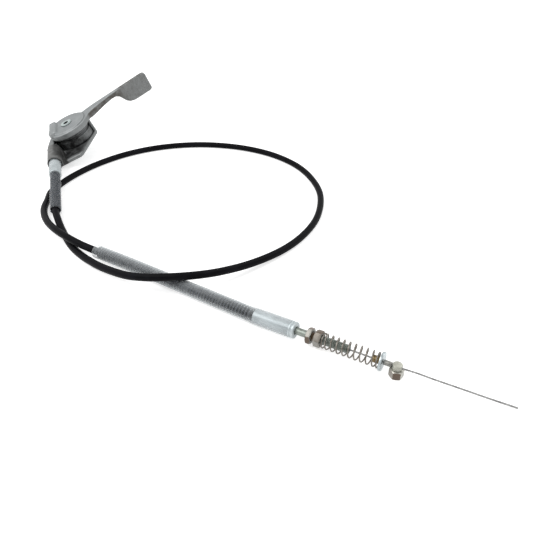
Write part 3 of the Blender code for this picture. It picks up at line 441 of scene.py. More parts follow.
def die_cast_look():
    """Bare die-cast zinc: matt grey, mottled, with paler edges that are partly rubbed wear and partly a
    painted highlight, painted shade in its hollows, painted shade with some grime on side faces, and dark
    painted shade with some grease in pockets and grooves.
    """
    s = Shading("cast_zinc", (0.33, 0.34, 0.34), 0.5, 0.55)
    broad = s.noise(9 * MM, 5.0)
    fine = s.noise(1.1 * MM, 6.0, 0.65)
    tone = s.ramp(broad, ((0.3, (0.225, 0.24, 0.243)), (0.55, (0.285, 0.303, 0.308)),
                          (0.75, (0.355, 0.37, 0.37))))
    speckle = s.mix(s.spread(fine, 0.0, 0.35, 0.45, 0.7), tone, (0.45, 0.46, 0.46))
    # Paler convex edges: partly rubbed wear, partly a painted highlight
    edges = s.spread(s.pointiness(), 0.0, 0.7, 0.51, 0.58)
    worn_and_highlit = s.mix(edges, speckle, (0.55, 0.57, 0.57))
    # Painted shade: concave hollows and creases darkened
    crease_shade = s.spread(s.pointiness(), 0.75, 0.0, 0.42, 0.49)
    painted_shade = s.mix(crease_shade, worn_and_highlit, (0.13, 0.13, 0.125))
    # Painted shade on side faces, with some grime: darkening in patches by the mask that the sculpt functions
    # store
    patchy = s.spread(s.noise(3.5 * MM), 0.7, 1.15, 0.35, 0.65)
    film = s.calculate("MULTIPLY", s.attribute("shade_and_grime"), patchy)
    shaded_and_grimy = s.mix(film, painted_shade, (0.088, 0.082, 0.074))
    # Painted shade, with some grease, in pockets and grooves: near black in blotches by the mask that the
    # sculpt functions store
    blotches = s.spread(s.noise(6 * MM, 3.0), 0.55, 1.0, 0.35, 0.6)
    shade_and_grease_mask = s.calculate("MULTIPLY", s.attribute("shade_and_grease"), blotches)
    s.color(s.mix(shade_and_grease_mask, shaded_and_grimy, (0.014, 0.014, 0.014)))
    s.roughness(s.spread(broad, 0.42, 0.62))
    grain = s.calculate("ADD", fine, s.calculate("MULTIPLY", s.noise(4 * MM, 2.0), 0.8))
    s.bump(grain, 0.12 * MM, 0.55)
    return s.look


def plated_look(name, dark, pale, roughness=0.3, streak=(1.0, 1.0, 0.12), grain=2.2 * MM, hollow=0.0,
                metallic=0.88, crease_darkness=0.6):
    """Plated steel with soft tool streaks, painted shade in its creases and inside its hollow, and brown
    where it is tarnished.
    """
    s = Shading(name, pale, roughness, metallic)
    tool_marks = s.noise(grain, 5.0, 0.6, streak)
    stains = s.noise(7 * MM, 3.0)
    tone = s.mix(s.spread(tool_marks), dark, pale)
    # Painted shade: concave creases darkened
    crease_shade = s.spread(s.pointiness(), crease_darkness, 0.0, 0.43, 0.495)
    shade = s.mix(crease_shade, tone, tuple(0.35 * channel for channel in dark))
    stained_and_shaded = s.mix(s.spread(stains, 0.0, 0.5, 0.48, 0.72), shade, tuple(0.6 * channel for channel in dark))
    stained_and_shaded = s.mix(s.attribute(TARNISH), stained_and_shaded, (0.085, 0.044, 0.017))
    s.link(s.spread(s.attribute(TARNISH), metallic, 0.1 * metallic, 0.0, 1.0), s.shader.inputs["Metallic"])
    # Painted shade: near black inside the piece's bore
    if hollow:
        inside = s.spread(s.radial(), 1.0, 0.0, hollow + 0.1 * MM, hollow + 0.4 * MM)
        stained_and_shaded = s.mix(inside, stained_and_shaded, (0.012, 0.012, 0.012))
    s.color(stained_and_shaded)
    s.roughness(s.spread(tool_marks, roughness - 0.08, roughness + 0.14))
    s.bump(s.noise(0.5 * MM, 3.0, 0.6, streak), 0.03 * MM, 0.4)
    return s.look


def conduit_look():
    """Black extruded jacket: dull, with a fine grain and rubbed patches."""
    s = Shading("black_jacket", (0.012, 0.012, 0.015), 0.36, baked=False)
    s.constant("Specular IOR Level", 0.06)
    rubbed = s.noise(16 * MM)
    fine = s.noise(0.9 * MM)
    s.color(s.mix(s.spread(rubbed, 0.0, 1.0, 0.45, 0.75), (0.002, 0.002, 0.003), (0.008, 0.008, 0.011)))
    s.roughness(s.spread(rubbed, 0.42, 0.56))
    s.bump(fine, 0.05 * MM, 0.4)
    return s.look


def sleeve_look(name, tint, alpha_low, alpha_high, rim, top_highlight):
    """Frosted clear tube: milkier towards its edges, partly from the longer path through its wall and partly
    as a painted reflection, with a painted highlight along its top.
    """
    s = Shading(name, tint, 0.32, 0.0, alpha_high, 0.25)
    s.constant("Coat Roughness", 0.2)
    cloud = s.noise(5 * MM)
    s.color(s.mix(s.spread(cloud), tuple(0.9 * channel for channel in tint), tint))
    # Milkier edges: partly the longer path through the wall, partly a painted reflection of the pale
    # surroundings
    edge = s.node("ShaderNodeLayerWeight", {"Blend": 0.5})
    wall = s.calculate("MULTIPLY", s.calculate("POWER", edge.outputs["Facing"], 1.7), rim)
    # Painted highlight along the top, from the mask that film_tube stores
    top_highlight_share = s.calculate("MULTIPLY", s.attribute("top_highlight"), top_highlight)
    film = s.calculate("ADD", s.spread(cloud, alpha_low, alpha_high), top_highlight_share)
    s.link(s.calculate("ADD", film, wall), s.shader.inputs["Alpha"])
    s.roughness(s.spread(cloud, 0.24, 0.42))
    s.bump(s.noise(1.6 * MM, 3.0), 0.06 * MM, 0.35)
    return s.look


def wire_look(name, dark, pale, patch=2.5 * MM, metallic=0.85, smooth=0.25, rough=0.42):
    """Drawn wire, darker in patches where it has been oiled."""
    s = Shading(name, pale, rough, metallic)
    patches = s.noise(patch)
    s.color(s.mix(s.spread(patches), dark, pale))
    s.roughness(s.spread(patches, smooth, rough))
    return s.look


def store_place(mesh):
    """Store a mesh's coordinates as they are now, for the grain of its material."""
    stored = mesh.attributes.new(LOCAL_PLACE, "FLOAT_VECTOR", "POINT")
    for vertex in mesh.vertices:
        stored.data[vertex.index].vector = vertex.co


def tarnish_flats(made, turn, shift):
    """Give each flat of a hexagon about the piece's own z axis its own tarnish."""
    mesh = made.data
    stored = mesh.attributes.new(TARNISH, "FLOAT", "FACE")
    for face in mesh.polygons:
        side = math.hypot(face.normal.x, face.normal.y)
        sector = math.floor((math.atan2(face.normal.y, face.normal.x) - turn) / (math.pi / 3))
        flat = FLAT_TARNISH[(sector + shift) % 6]
        stored.data[face.index].value = flat if side > 0.9 else END_TARNISH


def hold(made, body, slot, *nodes):
    """Put a piece's mesh into place, make it ride on a body and stand for its construction nodes."""
    if made.type == "MESH":
        store_place(made.data)
        made.data.transform(made.matrix_world)
        made.matrix_world = Matrix.Identity(4)
    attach(made, body)
    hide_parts(*nodes)


def add_object(name, data, place=Matrix.Identity(4)):
    """Object of the scene that holds some data."""
    made = bpy.data.objects.new(name, data)
    made.matrix_world = place
    bpy.context.scene.collection.objects.link(made)
    return made


def shape_mesh(name, shape):
    """Mesh with outward faces from a bmesh, which is used up."""
    bmesh.ops.recalc_face_normals(shape, faces=shape.faces)
    mesh = bpy.data.meshes.new(name)
    shape.to_mesh(mesh)
    shape.free()
    return mesh


def shade(mesh, angle=SHARP_ANGLE):
    """Shade a mesh smooth, apart from its sharper edges."""
    mesh.shade_smooth()
    mesh.set_sharp_from_angle(angle=angle)


def mesh_piece(name, shape, look, place=Matrix.Identity(4), smooth_angle=SHARP_ANGLE):
    """Object from a bmesh, shaded smooth up to an angle."""
    mesh = shape_mesh(name, shape)
    mesh.materials.append(look)
    shade(mesh, smooth_angle)
    return add_object(name, mesh, place)


def rings_to_shape(rings, closed_loop=False, shape=None):
    """Skin over rings of equally many points; ends are capped unless the rings close on themselves."""
    shape = shape or bmesh.new()
    made = [[shape.verts.new(point) for point in ring] for ring in rings]
    last = len(made) if closed_loop else len(made) - 1
    for index in range(last):
        here = made[index]
        there = made[(index + 1) % len(made)]
        for side in range(len(here)):
            after = (side + 1) % len(here)
            shape.faces.new((here[side], here[after], there[after], there[side]))
    if not closed_loop:
        shape.faces.new(made[0])
        shape.faces.new(made[-1])
    return shape


def rounded(outline, radius, closed=True):
    """Outline whose corners are cut back and bowed, three points to a corner."""
    made = []
    count = len(outline)
    for index, corner in enumerate(outline):
        here = Vector(corner)
        if not closed and index in (0, count - 1):
            made.append(tuple(here))
            continue
        before = Vector(outline[index - 1]) - here
        after = Vector(outline[(index + 1) % count]) - here
        back = min(radius, 0.4 * before.length, 0.4 * after.length)
        start = here + before.normalized() * back
        end = here + after.normalized() * back
        middle = (start + end) / 4 + here / 2
        made += [tuple(start), tuple(middle), tuple(end)]
    return made


def turned_rings(profile, sides=FINE_SIDES):
    """Rings about z from (distance, radius) points."""
    return [circle_points(Z_AXIS * distance, X_AXIS, Y_AXIS, radius, sides) for distance, radius in profile]


def lathe(name, outline, look, place, fillet=LIP_ROUND, closed=True):
    """Turned piece about z from an outline of (distance, radius) points, its corners softened."""
    rings = turned_rings(rounded(outline, fillet, closed))
    return mesh_piece(name, rings_to_shape(rings, closed_loop=closed), look, place)


def tube_along(points, radius, sides, shape=None):
    """Round rod along a list of points, capped at both ends."""
    rings = []
    normal = None
    for index, place in enumerate(points):
        ahead = points[min(index + 1, len(points) - 1)]
        behind = points[max(index - 1, 0)]
        direction = (ahead - behind).normalized()
        if normal is None:
            normal = direction.cross(Z_AXIS if abs(direction.z) < 0.9 else X_AXIS)
        normal = (normal - direction * normal.dot(direction)).normalized()
        rings.append(circle_points(place, normal, direction.cross(normal), radius, sides))
    return rings_to_shape(rings, shape=shape)


def strand_points(curve, centre_radius, pitch, phase, start, end, step):
    """Points of a helix round a curve."""
    lengths = route_lengths(curve)
    count = max(2, math.ceil((end - start) / step))
    points = []
    for index in range(count + 1):
        distance = start + (end - start) * index / count
        centre, side, up = route_frame(curve, lengths, distance)
        angle = 2 * math.pi * (distance - start) / pitch + phase
        points.append(centre + spoke(centre_radius, angle, side, up))
    return points


def stranded_wire(name, curve, radius, look):
    """Wire rope: strands twisted round a straight core, the whole of a given radius."""
    half_share = math.sin(math.pi / ROPE_STRANDS)
    strand_radius = radius * half_share / (1 + half_share)
    centre_radius = radius - strand_radius
    end = route_lengths(curve)[-1]
    shape = tube_along(strand_points(curve, 0.0, ROPE_PITCH, 0.0, 0.0, end, CORD_STEP), centre_radius,
                       STRAND_SIDES)
    for strand in range(ROPE_STRANDS):
        phase = 2 * math.pi * strand / ROPE_STRANDS
        points = strand_points(curve, centre_radius, ROPE_PITCH, phase, 0.0, end, ROPE_PITCH / STRAND_STEPS)
        tube_along(points, strand_radius, STRAND_SIDES, shape)
    return mesh_piece(name, shape, look, smooth_angle=math.radians(60))


def coil(name, curve, start, end, look):
    """Guard spring: a round-wire helix along a curve."""
    turns = max(1, round((end - start - 2 * GUARD_WIRE_RADIUS) / GUARD_PITCH))
    inner_start = start + GUARD_WIRE_RADIUS
    inner_end = end - GUARD_WIRE_RADIUS
    pitch = (inner_end - inner_start) / turns
    points = strand_points(curve, GUARD_CENTRE_RADIUS, pitch, 0.0, inner_start, inner_end,
                           pitch / GUARD_STEPS)
    rod = tube_along(points, GUARD_WIRE_RADIUS, GUARD_SIDES)
    return mesh_piece(name, rod, look, smooth_angle=math.radians(70))


def film_tube(name, curve, stations, look):
    """Clear sleeve along a curve from (distance, bore radius) stations, thin-walled, its lips rounded."""
    lengths = route_lengths(curve)
    outside = [(distance, bore + SLEEVE_WALL) for distance, bore in stations]
    inside = stations[::-1]
    rings = []
    for distance, radius in rounded(outside + inside, LIP_ROUND):
        centre, side, up = route_frame(curve, lengths, distance)
        rings.append(circle_points(centre, side, up, radius, SLEEVE_SIDES))
    made = mesh_piece(name, rings_to_shape(rings, closed_loop=True), look, smooth_angle=math.radians(50))
    # Painted highlight: upward-facing parts of the sleeve made milkier and paler
    top_highlight = made.data.attributes.new("top_highlight", "FLOAT", "POINT")
    for vertex in made.data.vertices:
        top_highlight.data[vertex.index].value = slope(vertex.normal.z, 0.45, 0.98)
    return made


def apply_modifiers(made):
    """Work an object's modifiers into its mesh."""
    bpy.context.view_layer.update()
    graph = bpy.context.evaluated_depsgraph_get()
    result = bpy.data.meshes.new_from_object(made.evaluated_get(graph))
    made.modifiers.clear()
    made.data = result


def carve(made, name, rings, place, operation="DIFFERENCE"):
    """Apply a Boolean with a tool that is a skin over rings, and remove the tool."""
    tool = add_object(name, shape_mesh(name, rings_to_shape(rings)), place)
    step = made.modifiers.new(name, "BOOLEAN")
    step.object = tool
    step.operation = operation
    apply_modifiers(made)
    bpy.data.objects.remove(tool, do_unlink=True)


def soften(made, width):
    """Round the edges of a machined piece and apply the result."""
    step = made.modifiers.new("edges", "BEVEL")
    step.width = width
    step.segments = 2
    step.limit_method = "ANGLE"
    step.angle_limit = math.radians(25)
    apply_modifiers(made)
    shade(made.data)


def casting(name, node, voxel, look, place, sculpt, patch=()):
    """Casting with soft edges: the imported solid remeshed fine, smoothed and then worked over."""
    made = add_object(name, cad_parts[node].data.copy(), place)
    made.data.transform(place.inverted())
    if patch:
        carve(made, "patch", patch, place, "UNION")
    remesh = made.modifiers.new("voxels", "REMESH")
    remesh.mode = "VOXEL"
    remesh.voxel_size = voxel
    relax = made.modifiers.new("relax", "SMOOTH")
    relax.factor = 0.5
    relax.iterations = 4
    apply_modifiers(made)
    sculpt(made.data)
    made.data.materials.clear()
    made.data.materials.append(look)
    made.data.shade_smooth()
    return made


def bell(value, centre, width):
    """Smooth bump of height 1 at a centre, gone at one width from it."""
    share = min(1.0, abs(value - centre) / width)
    return (1 - share * share) ** 2


def slope(value, start, end):
    """Smooth step from 0 at start to 1 at end."""
    share = min(1.0, max(0.0, (value - start) / (end - start)))
    return share * share * (3 - 2 * share)


def reach(value, start, end):
    """The same step between two levels in millimetres."""
    return slope(value / MM, start, end)


CAST = die_cast_look()
PLATE = plated_look("zinc_plate", (0.45, 0.50, 0.52), (0.62, 0.67, 0.68), 0.42, metallic=0.4, crease_darkness=0.4)
TUBE_LOOK = plated_look("tube_plate", (0.15, 0.17, 0.15), (0.36, 0.40, 0.37), 0.4, (1.0, 1.0, 1.0), 3 * MM)
CLAMP_LOOK = plated_look("clamp_plate", (0.36, 0.36, 0.31), (0.50, 0.50, 0.44), 0.36, metallic=0.6, crease_darkness=0.1)
SCREW_LOOK = plated_look("screw_plate", (0.50, 0.50, 0.45), (0.72, 0.72, 0.66), 0.3, metallic=0.6, crease_darkness=0.1)
RIVET_LOOK = plated_look("rivet_plate", (0.40, 0.46, 0.45), (0.60, 0.67, 0.66), 0.34,
                         hollow=RIVET_HOLE_RADIUS)
WASHER_LOOK = plated_look("washer_plate", (0.33, 0.37, 0.38), (0.54, 0.60, 0.62), 0.3)
NUT_LOOK = plated_look("nut_plate", (0.17, 0.168, 0.155), (0.37, 0.365, 0.34), 0.34, (1.0, 1.0, 1.0), 3 * MM,
                       metallic=0.7)
SPRING_LOOK = wire_look("spring_wire", (0.10, 0.085, 0.07), (0.30, 0.28, 0.25))
WIRE_LOOK = wire_look("rope_wire", (0.20, 0.20, 0.20), (0.46, 0.46, 0.45))
BRASS_LOOK = plated_look("dull_brass", (0.12, 0.085, 0.04), (0.32, 0.24, 0.13), 0.34)
JACKET = conduit_look()
GUARD = wire_look("guard_wire", (0.014, 0.018, 0.026), (0.040, 0.049, 0.066), 3 * MM, 0.35, 0.35, 0.55)
SLEEVE = sleeve_look("frosted_sleeve", (0.74, 0.78, 0.80), 0.01, 0.03, 0.92, 0.08)
BOOT_SLEEVE = sleeve_look("boot_sleeve", (0.42, 0.44, 0.45), 0.01, 0.03, 0.16, 0.01)


def conduit_curve():
    """Smooth curve of the whole conduit, from its seat in one ferrule to its seat in the other."""
    straight = (CONDUIT_SEAT, LEVER_FERRULE_LENGTH, LEVER_SLEEVE_LENGTH / 2, LEVER_SLEEVE_LENGTH)
    first = [OUTLET_FRAME @ (Z_AXIS * distance) for distance in straight]
    last = [ADJUSTER_FRAME @ (Z_AXIS * distance) for distance in (0.0, CONDUIT_SEAT_DEPTH - SEAT)]
    middle = [Vector(point) * MM for point in CONDUIT_POINTS]
    return smooth_route(first + middle + last)


def wire_curve():
    """Smooth curve of the bare wire, from inside the threaded tube to its free tip."""
    start = THREAD_END - BUSH_LENGTH
    places = (start, (start + CLAMP_CENTRE) / 2, CLAMP_CENTRE, CLAMP_CENTRE + CLAMP_RADIUS)
    straight = [ADJUSTER_FRAME @ (Z_AXIS * distance) for distance in places]
    return smooth_route(straight + [Vector(point) * MM for point in WIRE_TAIL_POINTS])


def make_conduit(curve):
    """The black conduit as one round cord, on a point every few millimetres."""
    lengths = route_lengths(curve)
    count = round(lengths[-1] / CORD_STEP)
    data = bpy.data.curves.new("conduit_jacket", "CURVE")
    data.dimensions = "3D"
    data.bevel_depth = CONDUIT_RADIUS
    data.bevel_resolution = CORD_BEVEL
    data.use_fill_caps = True
    spline = data.splines.new("POLY")
    spline.points.add(count)
    for index in range(count + 1):
        place, _ = point_along(curve, lengths, lengths[-1] * index / count)
        spline.points[index].co = (*place, 1.0)
    data.materials.append(JACKET)
    made = add_object("conduit_jacket", data)
    hold(made, "casing", "conduit_jacket", "conduit")


def make_bare_wire(curve):
    """The stranded wire that runs from the threaded tube through the clamp to its cut end."""
    made = stranded_wire("bare_wire", curve, WIRE_RADIUS, WIRE_LOOK)
    hold(made, "wire_end", "wire_steel", "inner_wire")


def sleeve_stations(open_end, step_end, far_end, wide_bore):
    """Stations of a sleeve's bore: pressed in a little between the coils, stepped up over the ferrule."""
    toward = math.copysign(1.0, step_end - open_end)
    taper_start = step_end - toward * SLEEVE_TAPER
    count = round(abs(taper_start - open_end) / (GUARD_PITCH / 2))
    stations = []
    for index in range(count + 1):
        distance = open_end + (taper_start - open_end) * index / count
        covered = abs(distance - open_end) > SLEEVE_PLAIN_LENGTH
        dip = SLEEVE_DIP if covered and index % 2 else 0.0
        stations.append((distance, SLEEVE_BORE_RADIUS - dip))
    return stations + [(step_end, wide_bore), (far_end, wide_bore)]


def make_guards(curve):
    """Guard springs and clear sleeves at both ends of the conduit."""
    lever_axis = [OUTLET_FRAME @ (Z_AXIS * (LEVER_SLEEVE_LENGTH * k / 12)) for k in range(13)]
    ferrule_rear = route_lengths(curve)[-1] - (CONDUIT_SEAT_DEPTH - SEAT)
    sleeve_rear = ferrule_rear - GUARD_SLEEVE_LENGTH
    for coil_name, spring_node, sleeve_name, sleeve_node, look, axis, span, bore in (
            ("lever_guard_coil", "lever_guard_spring", "lever_boot", "lever_sleeve", BOOT_SLEEVE, lever_axis,
             (LEVER_FERRULE_LENGTH + SEAT, LEVER_SLEEVE_LENGTH - GUARD_SETBACK),
             (LEVER_SLEEVE_LENGTH, LEVER_FERRULE_LENGTH, SEAT, LEVER_FERRULE_RADIUS + SEAT)),
            ("long_guard_coil", "guard_spring", "long_sleeve", "guard_sleeve", SLEEVE, curve,
             (sleeve_rear + GUARD_SETBACK, ferrule_rear - SEAT),
             (sleeve_rear, ferrule_rear, ferrule_rear + FERRULE_LENGTH, FERRULE_RADIUS + SEAT))):
        hold(coil(coil_name, axis, *span, GUARD), "casing", "guard_wire", spring_node)
        sleeve = film_tube(sleeve_name, axis, sleeve_stations(*bore), look)
        hold(sleeve, "casing", "clear_sleeve", sleeve_node)


def thread_shape():
    """Threaded tube: plain neck, then a helical ridge that fades in and out at its ends."""
    count = round((THREAD_END - THREAD_START) / THREAD_PITCH * THREAD_STEPS)
    rings = []
    for index in range(count + 1):
        distance = THREAD_START + (THREAD_END - THREAD_START) * index / count
        fade = min(1.0, index / THREAD_STEPS, (count - index) / THREAD_STEPS)
        ring = []
        for side in range(THREAD_SIDES):
            turn = side / THREAD_SIDES
            phase = (distance / THREAD_PITCH - turn) % 1.0
            height = abs(2 * phase - 1)
            radius = THREAD_RADIUS - THREAD_DEPTH + fade * THREAD_DEPTH * min(1.0, 1.25 * height)
            ring.append(spoke(radius, 2 * math.pi * turn) + Z_AXIS * distance)
        rings.append(ring)
    rear = COLLAR_END - TUBE_SEAT_DEPTH + SEAT
    neck_end = THREAD_START - 0.2 * MM
    plain = turned_rings(((rear, WIRE_BORE_RADIUS), (rear, TUBE_NECK_RADIUS), (neck_end, TUBE_NECK_RADIUS)),
                         THREAD_SIDES)
    mouth = turned_rings(((THREAD_END, WIRE_BORE_RADIUS),), THREAD_SIDES)
    return rings_to_shape(plain + rings + mouth, closed_loop=True)


def hexagon(name, across_flats, bottom, top, turn, look, place, bore):
    """Nut or screw head: hexagon with turned chamfers, rounded edges and a countersunk bore."""
    corner = across_flats / math.sqrt(3)
    rings = [[spoke(corner, turn + math.pi * k / 3) + Z_AXIS * level for k in range(6)]
             for level in (bottom, top)]
    made = mesh_piece(name, rings_to_shape(rings), look, place)
    beyond = corner + SEAT
    flat = across_flats / 2 - 0.1 * MM
    drop = (beyond - flat) * NUT_CHAMFER_SLOPE
    barrel = ((bottom, flat), (bottom + drop, beyond), (top - drop, beyond), (top, flat))
    carve(made, "chamfer", turned_rings(barrel), place, "INTERSECT")
    if bore:
        sink = 0.45 * MM
        hole = ((bottom - sink, bore + 2 * sink), (bottom + sink, bore), (top - sink, bore),
                (top + sink, bore + 2 * sink))
        carve(made, "thread_bore", turned_rings(hole), place)
    soften(made, 0.12 * MM)
    return made


def helix_spring():
    """Return spring: round wire, its end turns closed."""
    steps = round(SPRING_TURNS * SPRING_STEPS)
    closed_pitch = 2 * SPRING_WIRE_RADIUS + SEAT
    length = SPRING_LENGTH - 2 * SPRING_WIRE_RADIUS
    open_turns = SPRING_TURNS - 2
    open_pitch = (length - 2 * closed_pitch) / open_turns
    points = []
    for step in range(steps + 1):
        turn = SPRING_TURNS * step / steps
        rise = closed_pitch * min(turn, 1.0) + open_pitch * min(max(turn - 1.0, 0.0), open_turns)
        rise += closed_pitch * max(turn - 1.0 - open_turns, 0.0)
        angle = 2 * math.pi * (turn - SPRING_PHASE)
        points.append(spoke(SPRING_RADIUS, angle) + Z_AXIS * (SPRING_START + SPRING_WIRE_RADIUS + rise))
    return tube_along(points, SPRING_WIRE_RADIUS, 12)


def make_adjuster():
    """Ferrule, threaded tube, lock nuts, spring and the pieces that travel with the wire."""
    seat = CONDUIT_RADIUS + SEAT
    groove = 0.45 * MM
    front_seat = COLLAR_END - TUBE_SEAT_DEPTH
    ferrule = lathe("long_ferrule", [
        (0.0, seat), (0.0, FERRULE_RADIUS - groove), (groove, FERRULE_RADIUS),
        (COLLAR_START, FERRULE_RADIUS), (COLLAR_START, COLLAR_RADIUS),
        (COLLAR_START + 1.0 * MM, COLLAR_RADIUS), (COLLAR_START + 1.3 * MM, COLLAR_RADIUS - groove),
        (COLLAR_START + 1.8 * MM, COLLAR_RADIUS - groove), (COLLAR_START + 2.1 * MM, COLLAR_RADIUS),
        (COLLAR_END - groove, COLLAR_RADIUS), (COLLAR_END, COLLAR_RADIUS - groove),
        (COLLAR_END, TUBE_NECK_RADIUS + SEAT), (front_seat, TUBE_NECK_RADIUS + SEAT),
        (front_seat, WIRE_BORE_RADIUS), (CONDUIT_SEAT_DEPTH, WIRE_BORE_RADIUS),
        (CONDUIT_SEAT_DEPTH, seat)], PLATE, ADJUSTER_FRAME)
    hold(ferrule, "casing", "zinc_plate", "adjuster_ferrule")
    tube = mesh_piece("threaded_tube", thread_shape(), TUBE_LOOK, ADJUSTER_FRAME, math.radians(50))
    stored = tube.data.attributes.new(TARNISH, "FLOAT", "POINT")
    for vertex in tube.data.vertices:
        between = slope(vertex.co.z, THIN_NUT_END - 1 * MM, THIN_NUT_END)
        between *= slope(vertex.co.z, SPRING_START, FULL_NUT_START)
        stored.data[vertex.index].value = THREAD_TARNISH + (GAP_TARNISH - THREAD_TARNISH) * between
    hold(tube, "casing", "zinc_plate", "adjuster_tube")
    for name, body, node, start, end, turn, shift in (
            ("thin_nut", "inner_nut", "lock_nut_inner", THIN_NUT_START, THIN_NUT_END, 0.0, 0),
            ("full_nut", "outer_nut", "lock_nut_outer", FULL_NUT_START, FULL_NUT_END, NUT_TURN, 2)):
        nut = hexagon(name, NUT_ACROSS_FLATS, start, end, turn, NUT_LOOK, ADJUSTER_FRAME,
                      THREAD_RADIUS + SEAT)
        tarnish_flats(nut, turn, shift)
        hold(nut, body, "nut_zinc", node)
    spring = mesh_piece("coil_spring", helix_spring(), SPRING_LOOK, ADJUSTER_FRAME, math.radians(70))
    hold(spring, "casing", "spring_steel", "return_spring")
    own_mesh(spring)
    for name, node, slot, start, end, radius, look in (
            ("brass_bush", "spring_bush", "brass", BUSH_START, SPRING_END, BUSH_RADIUS, BRASS_LOOK),
            ("thick_washer", "spring_washer", "zinc_plate", WASHER_START, WASHER_END, WASHER_RADIUS,
             WASHER_LOOK),
            ("short_spacer", "spacer_tube", "zinc_plate", SPACER_START, SPACER_END, SPACER_RADIUS, NUT_LOOK)):
        outline = [(start, WIRE_FIT), (start, radius), (end, radius), (end, WIRE_FIT)]
        hold(lathe(name, outline, look, ADJUSTER_FRAME, RING_ROUND), "wire_end", slot, node)


def make_clamp():
    """Round clamp post with the wire's cross hole, and the hexagon screw under it."""
    edge = 0.35 * MM
    post = lathe("clamp_post", [
        (-CLAMP_BELOW_WIRE, CLAMP_RADIUS - edge), (edge - CLAMP_BELOW_WIRE, CLAMP_RADIUS),
        (CLAMP_ABOVE_WIRE - edge, CLAMP_RADIUS), (CLAMP_ABOVE_WIRE, CLAMP_RADIUS - edge)],
        CLAMP_LOOK, CLAMP_FRAME, 0.2 * MM, closed=False)
    through = [circle_points(X_AXIS * along, Y_AXIS, Z_AXIS, WIRE_FIT, HOLE_SIDES)
               for along in (-2 * CLAMP_RADIUS, 2 * CLAMP_RADIUS)]
    level = CLAMP_FRAME @ Matrix.Rotation(-ADJUSTER_RISE, 4, "Y")
    carve(post, "wire_hole", through, level)
    fit = SCREW_SHANK_RADIUS + SEAT
    threaded = turned_rings(((-2 * CLAMP_RADIUS, fit), (-WIRE_RADIUS, fit)), HOLE_SIDES)
    carve(post, "screw_hole", threaded, CLAMP_FRAME)
    soften(post, 0.08 * MM)
    hold(post, "wire_end", "nut_zinc", "cable_clamp")
    top = -CLAMP_BELOW_WIRE - SEAT
    contact = -CLAMP_BELOW_WIRE - SCREW_CONTACT
    screw = hexagon("clamp_hexagon", SCREW_ACROSS_FLATS, top - SCREW_HEAD_HEIGHT, contact, SCREW_TURN,
                    SCREW_LOOK, CLAMP_FRAME, 0.0)
    ends = (top - SCREW_HEAD_HEIGHT / 2, -WIRE_FIT)
    shank = turned_rings([(height, SCREW_SHANK_RADIUS) for height in ends], HOLE_SIDES)
    carve(screw, "shank", shank, CLAMP_FRAME, "UNION")
    shade(screw.data)
    tarnish_flats(screw, SCREW_TURN, 1)
    hold(screw, "wire_end", "nut_zinc", "clamp_screw")


def sculpt_lever(mesh):
    """Cast detail on the lever, and where its colour is darkened: painted shade, with some grease and grime.
    """
    turn = Matrix.Rotation(-ARM_HEADING, 3, "Z")
    shade_and_grease = mesh.attributes.new("shade_and_grease", "FLOAT", "POINT")
    shade_and_grime = mesh.attributes.new("shade_and_grime", "FLOAT", "POINT")
    normals = [vertex.normal.copy() for vertex in mesh.vertices]
    for vertex in mesh.vertices:
        place = vertex.co
        radius = math.hypot(place.x, place.y)
        # Groove round the disc, knob of the ridge, ribs on the paddle
        top = reach(place.z, -1.2, -0.2)
        place.z -= DISC_GROOVE_DEPTH * top * bell(radius, DISC_GROOVE_RADIUS, DISC_GROOVE_WIDTH)
        knob = reach(place.x, -10.5, -12.5) * reach(place.z, -0.1, 1.8)
        place.z += RIDGE_RISE * knob
        arm = turn @ place
        side = slope(arm.y, GRIP_FACE + 3 * MM, GRIP_FACE) * slope(arm.x, GRIP_START, GRIP_START + 4 * MM)
        side *= slope(arm.x, GRIP_END + 2 * MM, GRIP_END)
        wave = 0.5 - 0.5 * math.cos(2 * math.pi * arm.x / GRIP_PITCH)
        place += turn.transposed() @ (Y_AXIS * (GRIP_DEPTH * side * wave))
        # Painted shade, partly grease, on the drum under the plate, lighter towards the arm side, and painted
        # shade in the groove round the disc
        below = slope(place.z, PLATE_BOTTOM + 0.6 * MM, PLATE_BOTTOM - 0.8 * MM)
        below *= reach(radius, 27, 23.5)
        shade = 0.65 + 0.35 * reach(place.x, 17, 2)
        line = 0.75 * top * bell(radius, DISC_GROOVE_RADIUS, DISC_GROOVE_WIDTH)
        shade_and_grease.data[vertex.index].value = max(below * shade, line * reach(place.x, 4, 14))
        # Drum's lower end drawn down into the pocket
        skirt = slope(place.z, DRUM_BOTTOM + 2.7 * MM, DRUM_BOTTOM + 0.1 * MM)
        skirt *= reach(radius, 10, 12.5) * reach(radius, 22, 21)
        place.z -= SKIRT_DROP * skirt
        # Painted shade on the sides of hub and arm, stronger along the arm, and a darker top on the paddle
        facing = turn @ normals[vertex.index]
        beside = slope(facing.z, 0.75, 0.35)
        paddle_top = slope(facing.z, 0.35, 0.75) * slope(arm.x, GRIP_START - 9 * MM, GRIP_START)
        beyond_hub = reach(radius, 23.5, 26)
        along_arm = reach(arm.x, 78, 62)
        painted_shade = 0.25 + beyond_hub * (0.25 + 0.45 * along_arm)
        shade_and_grime.data[vertex.index].value = max(beside * painted_shade, 0.8 * paddle_top)


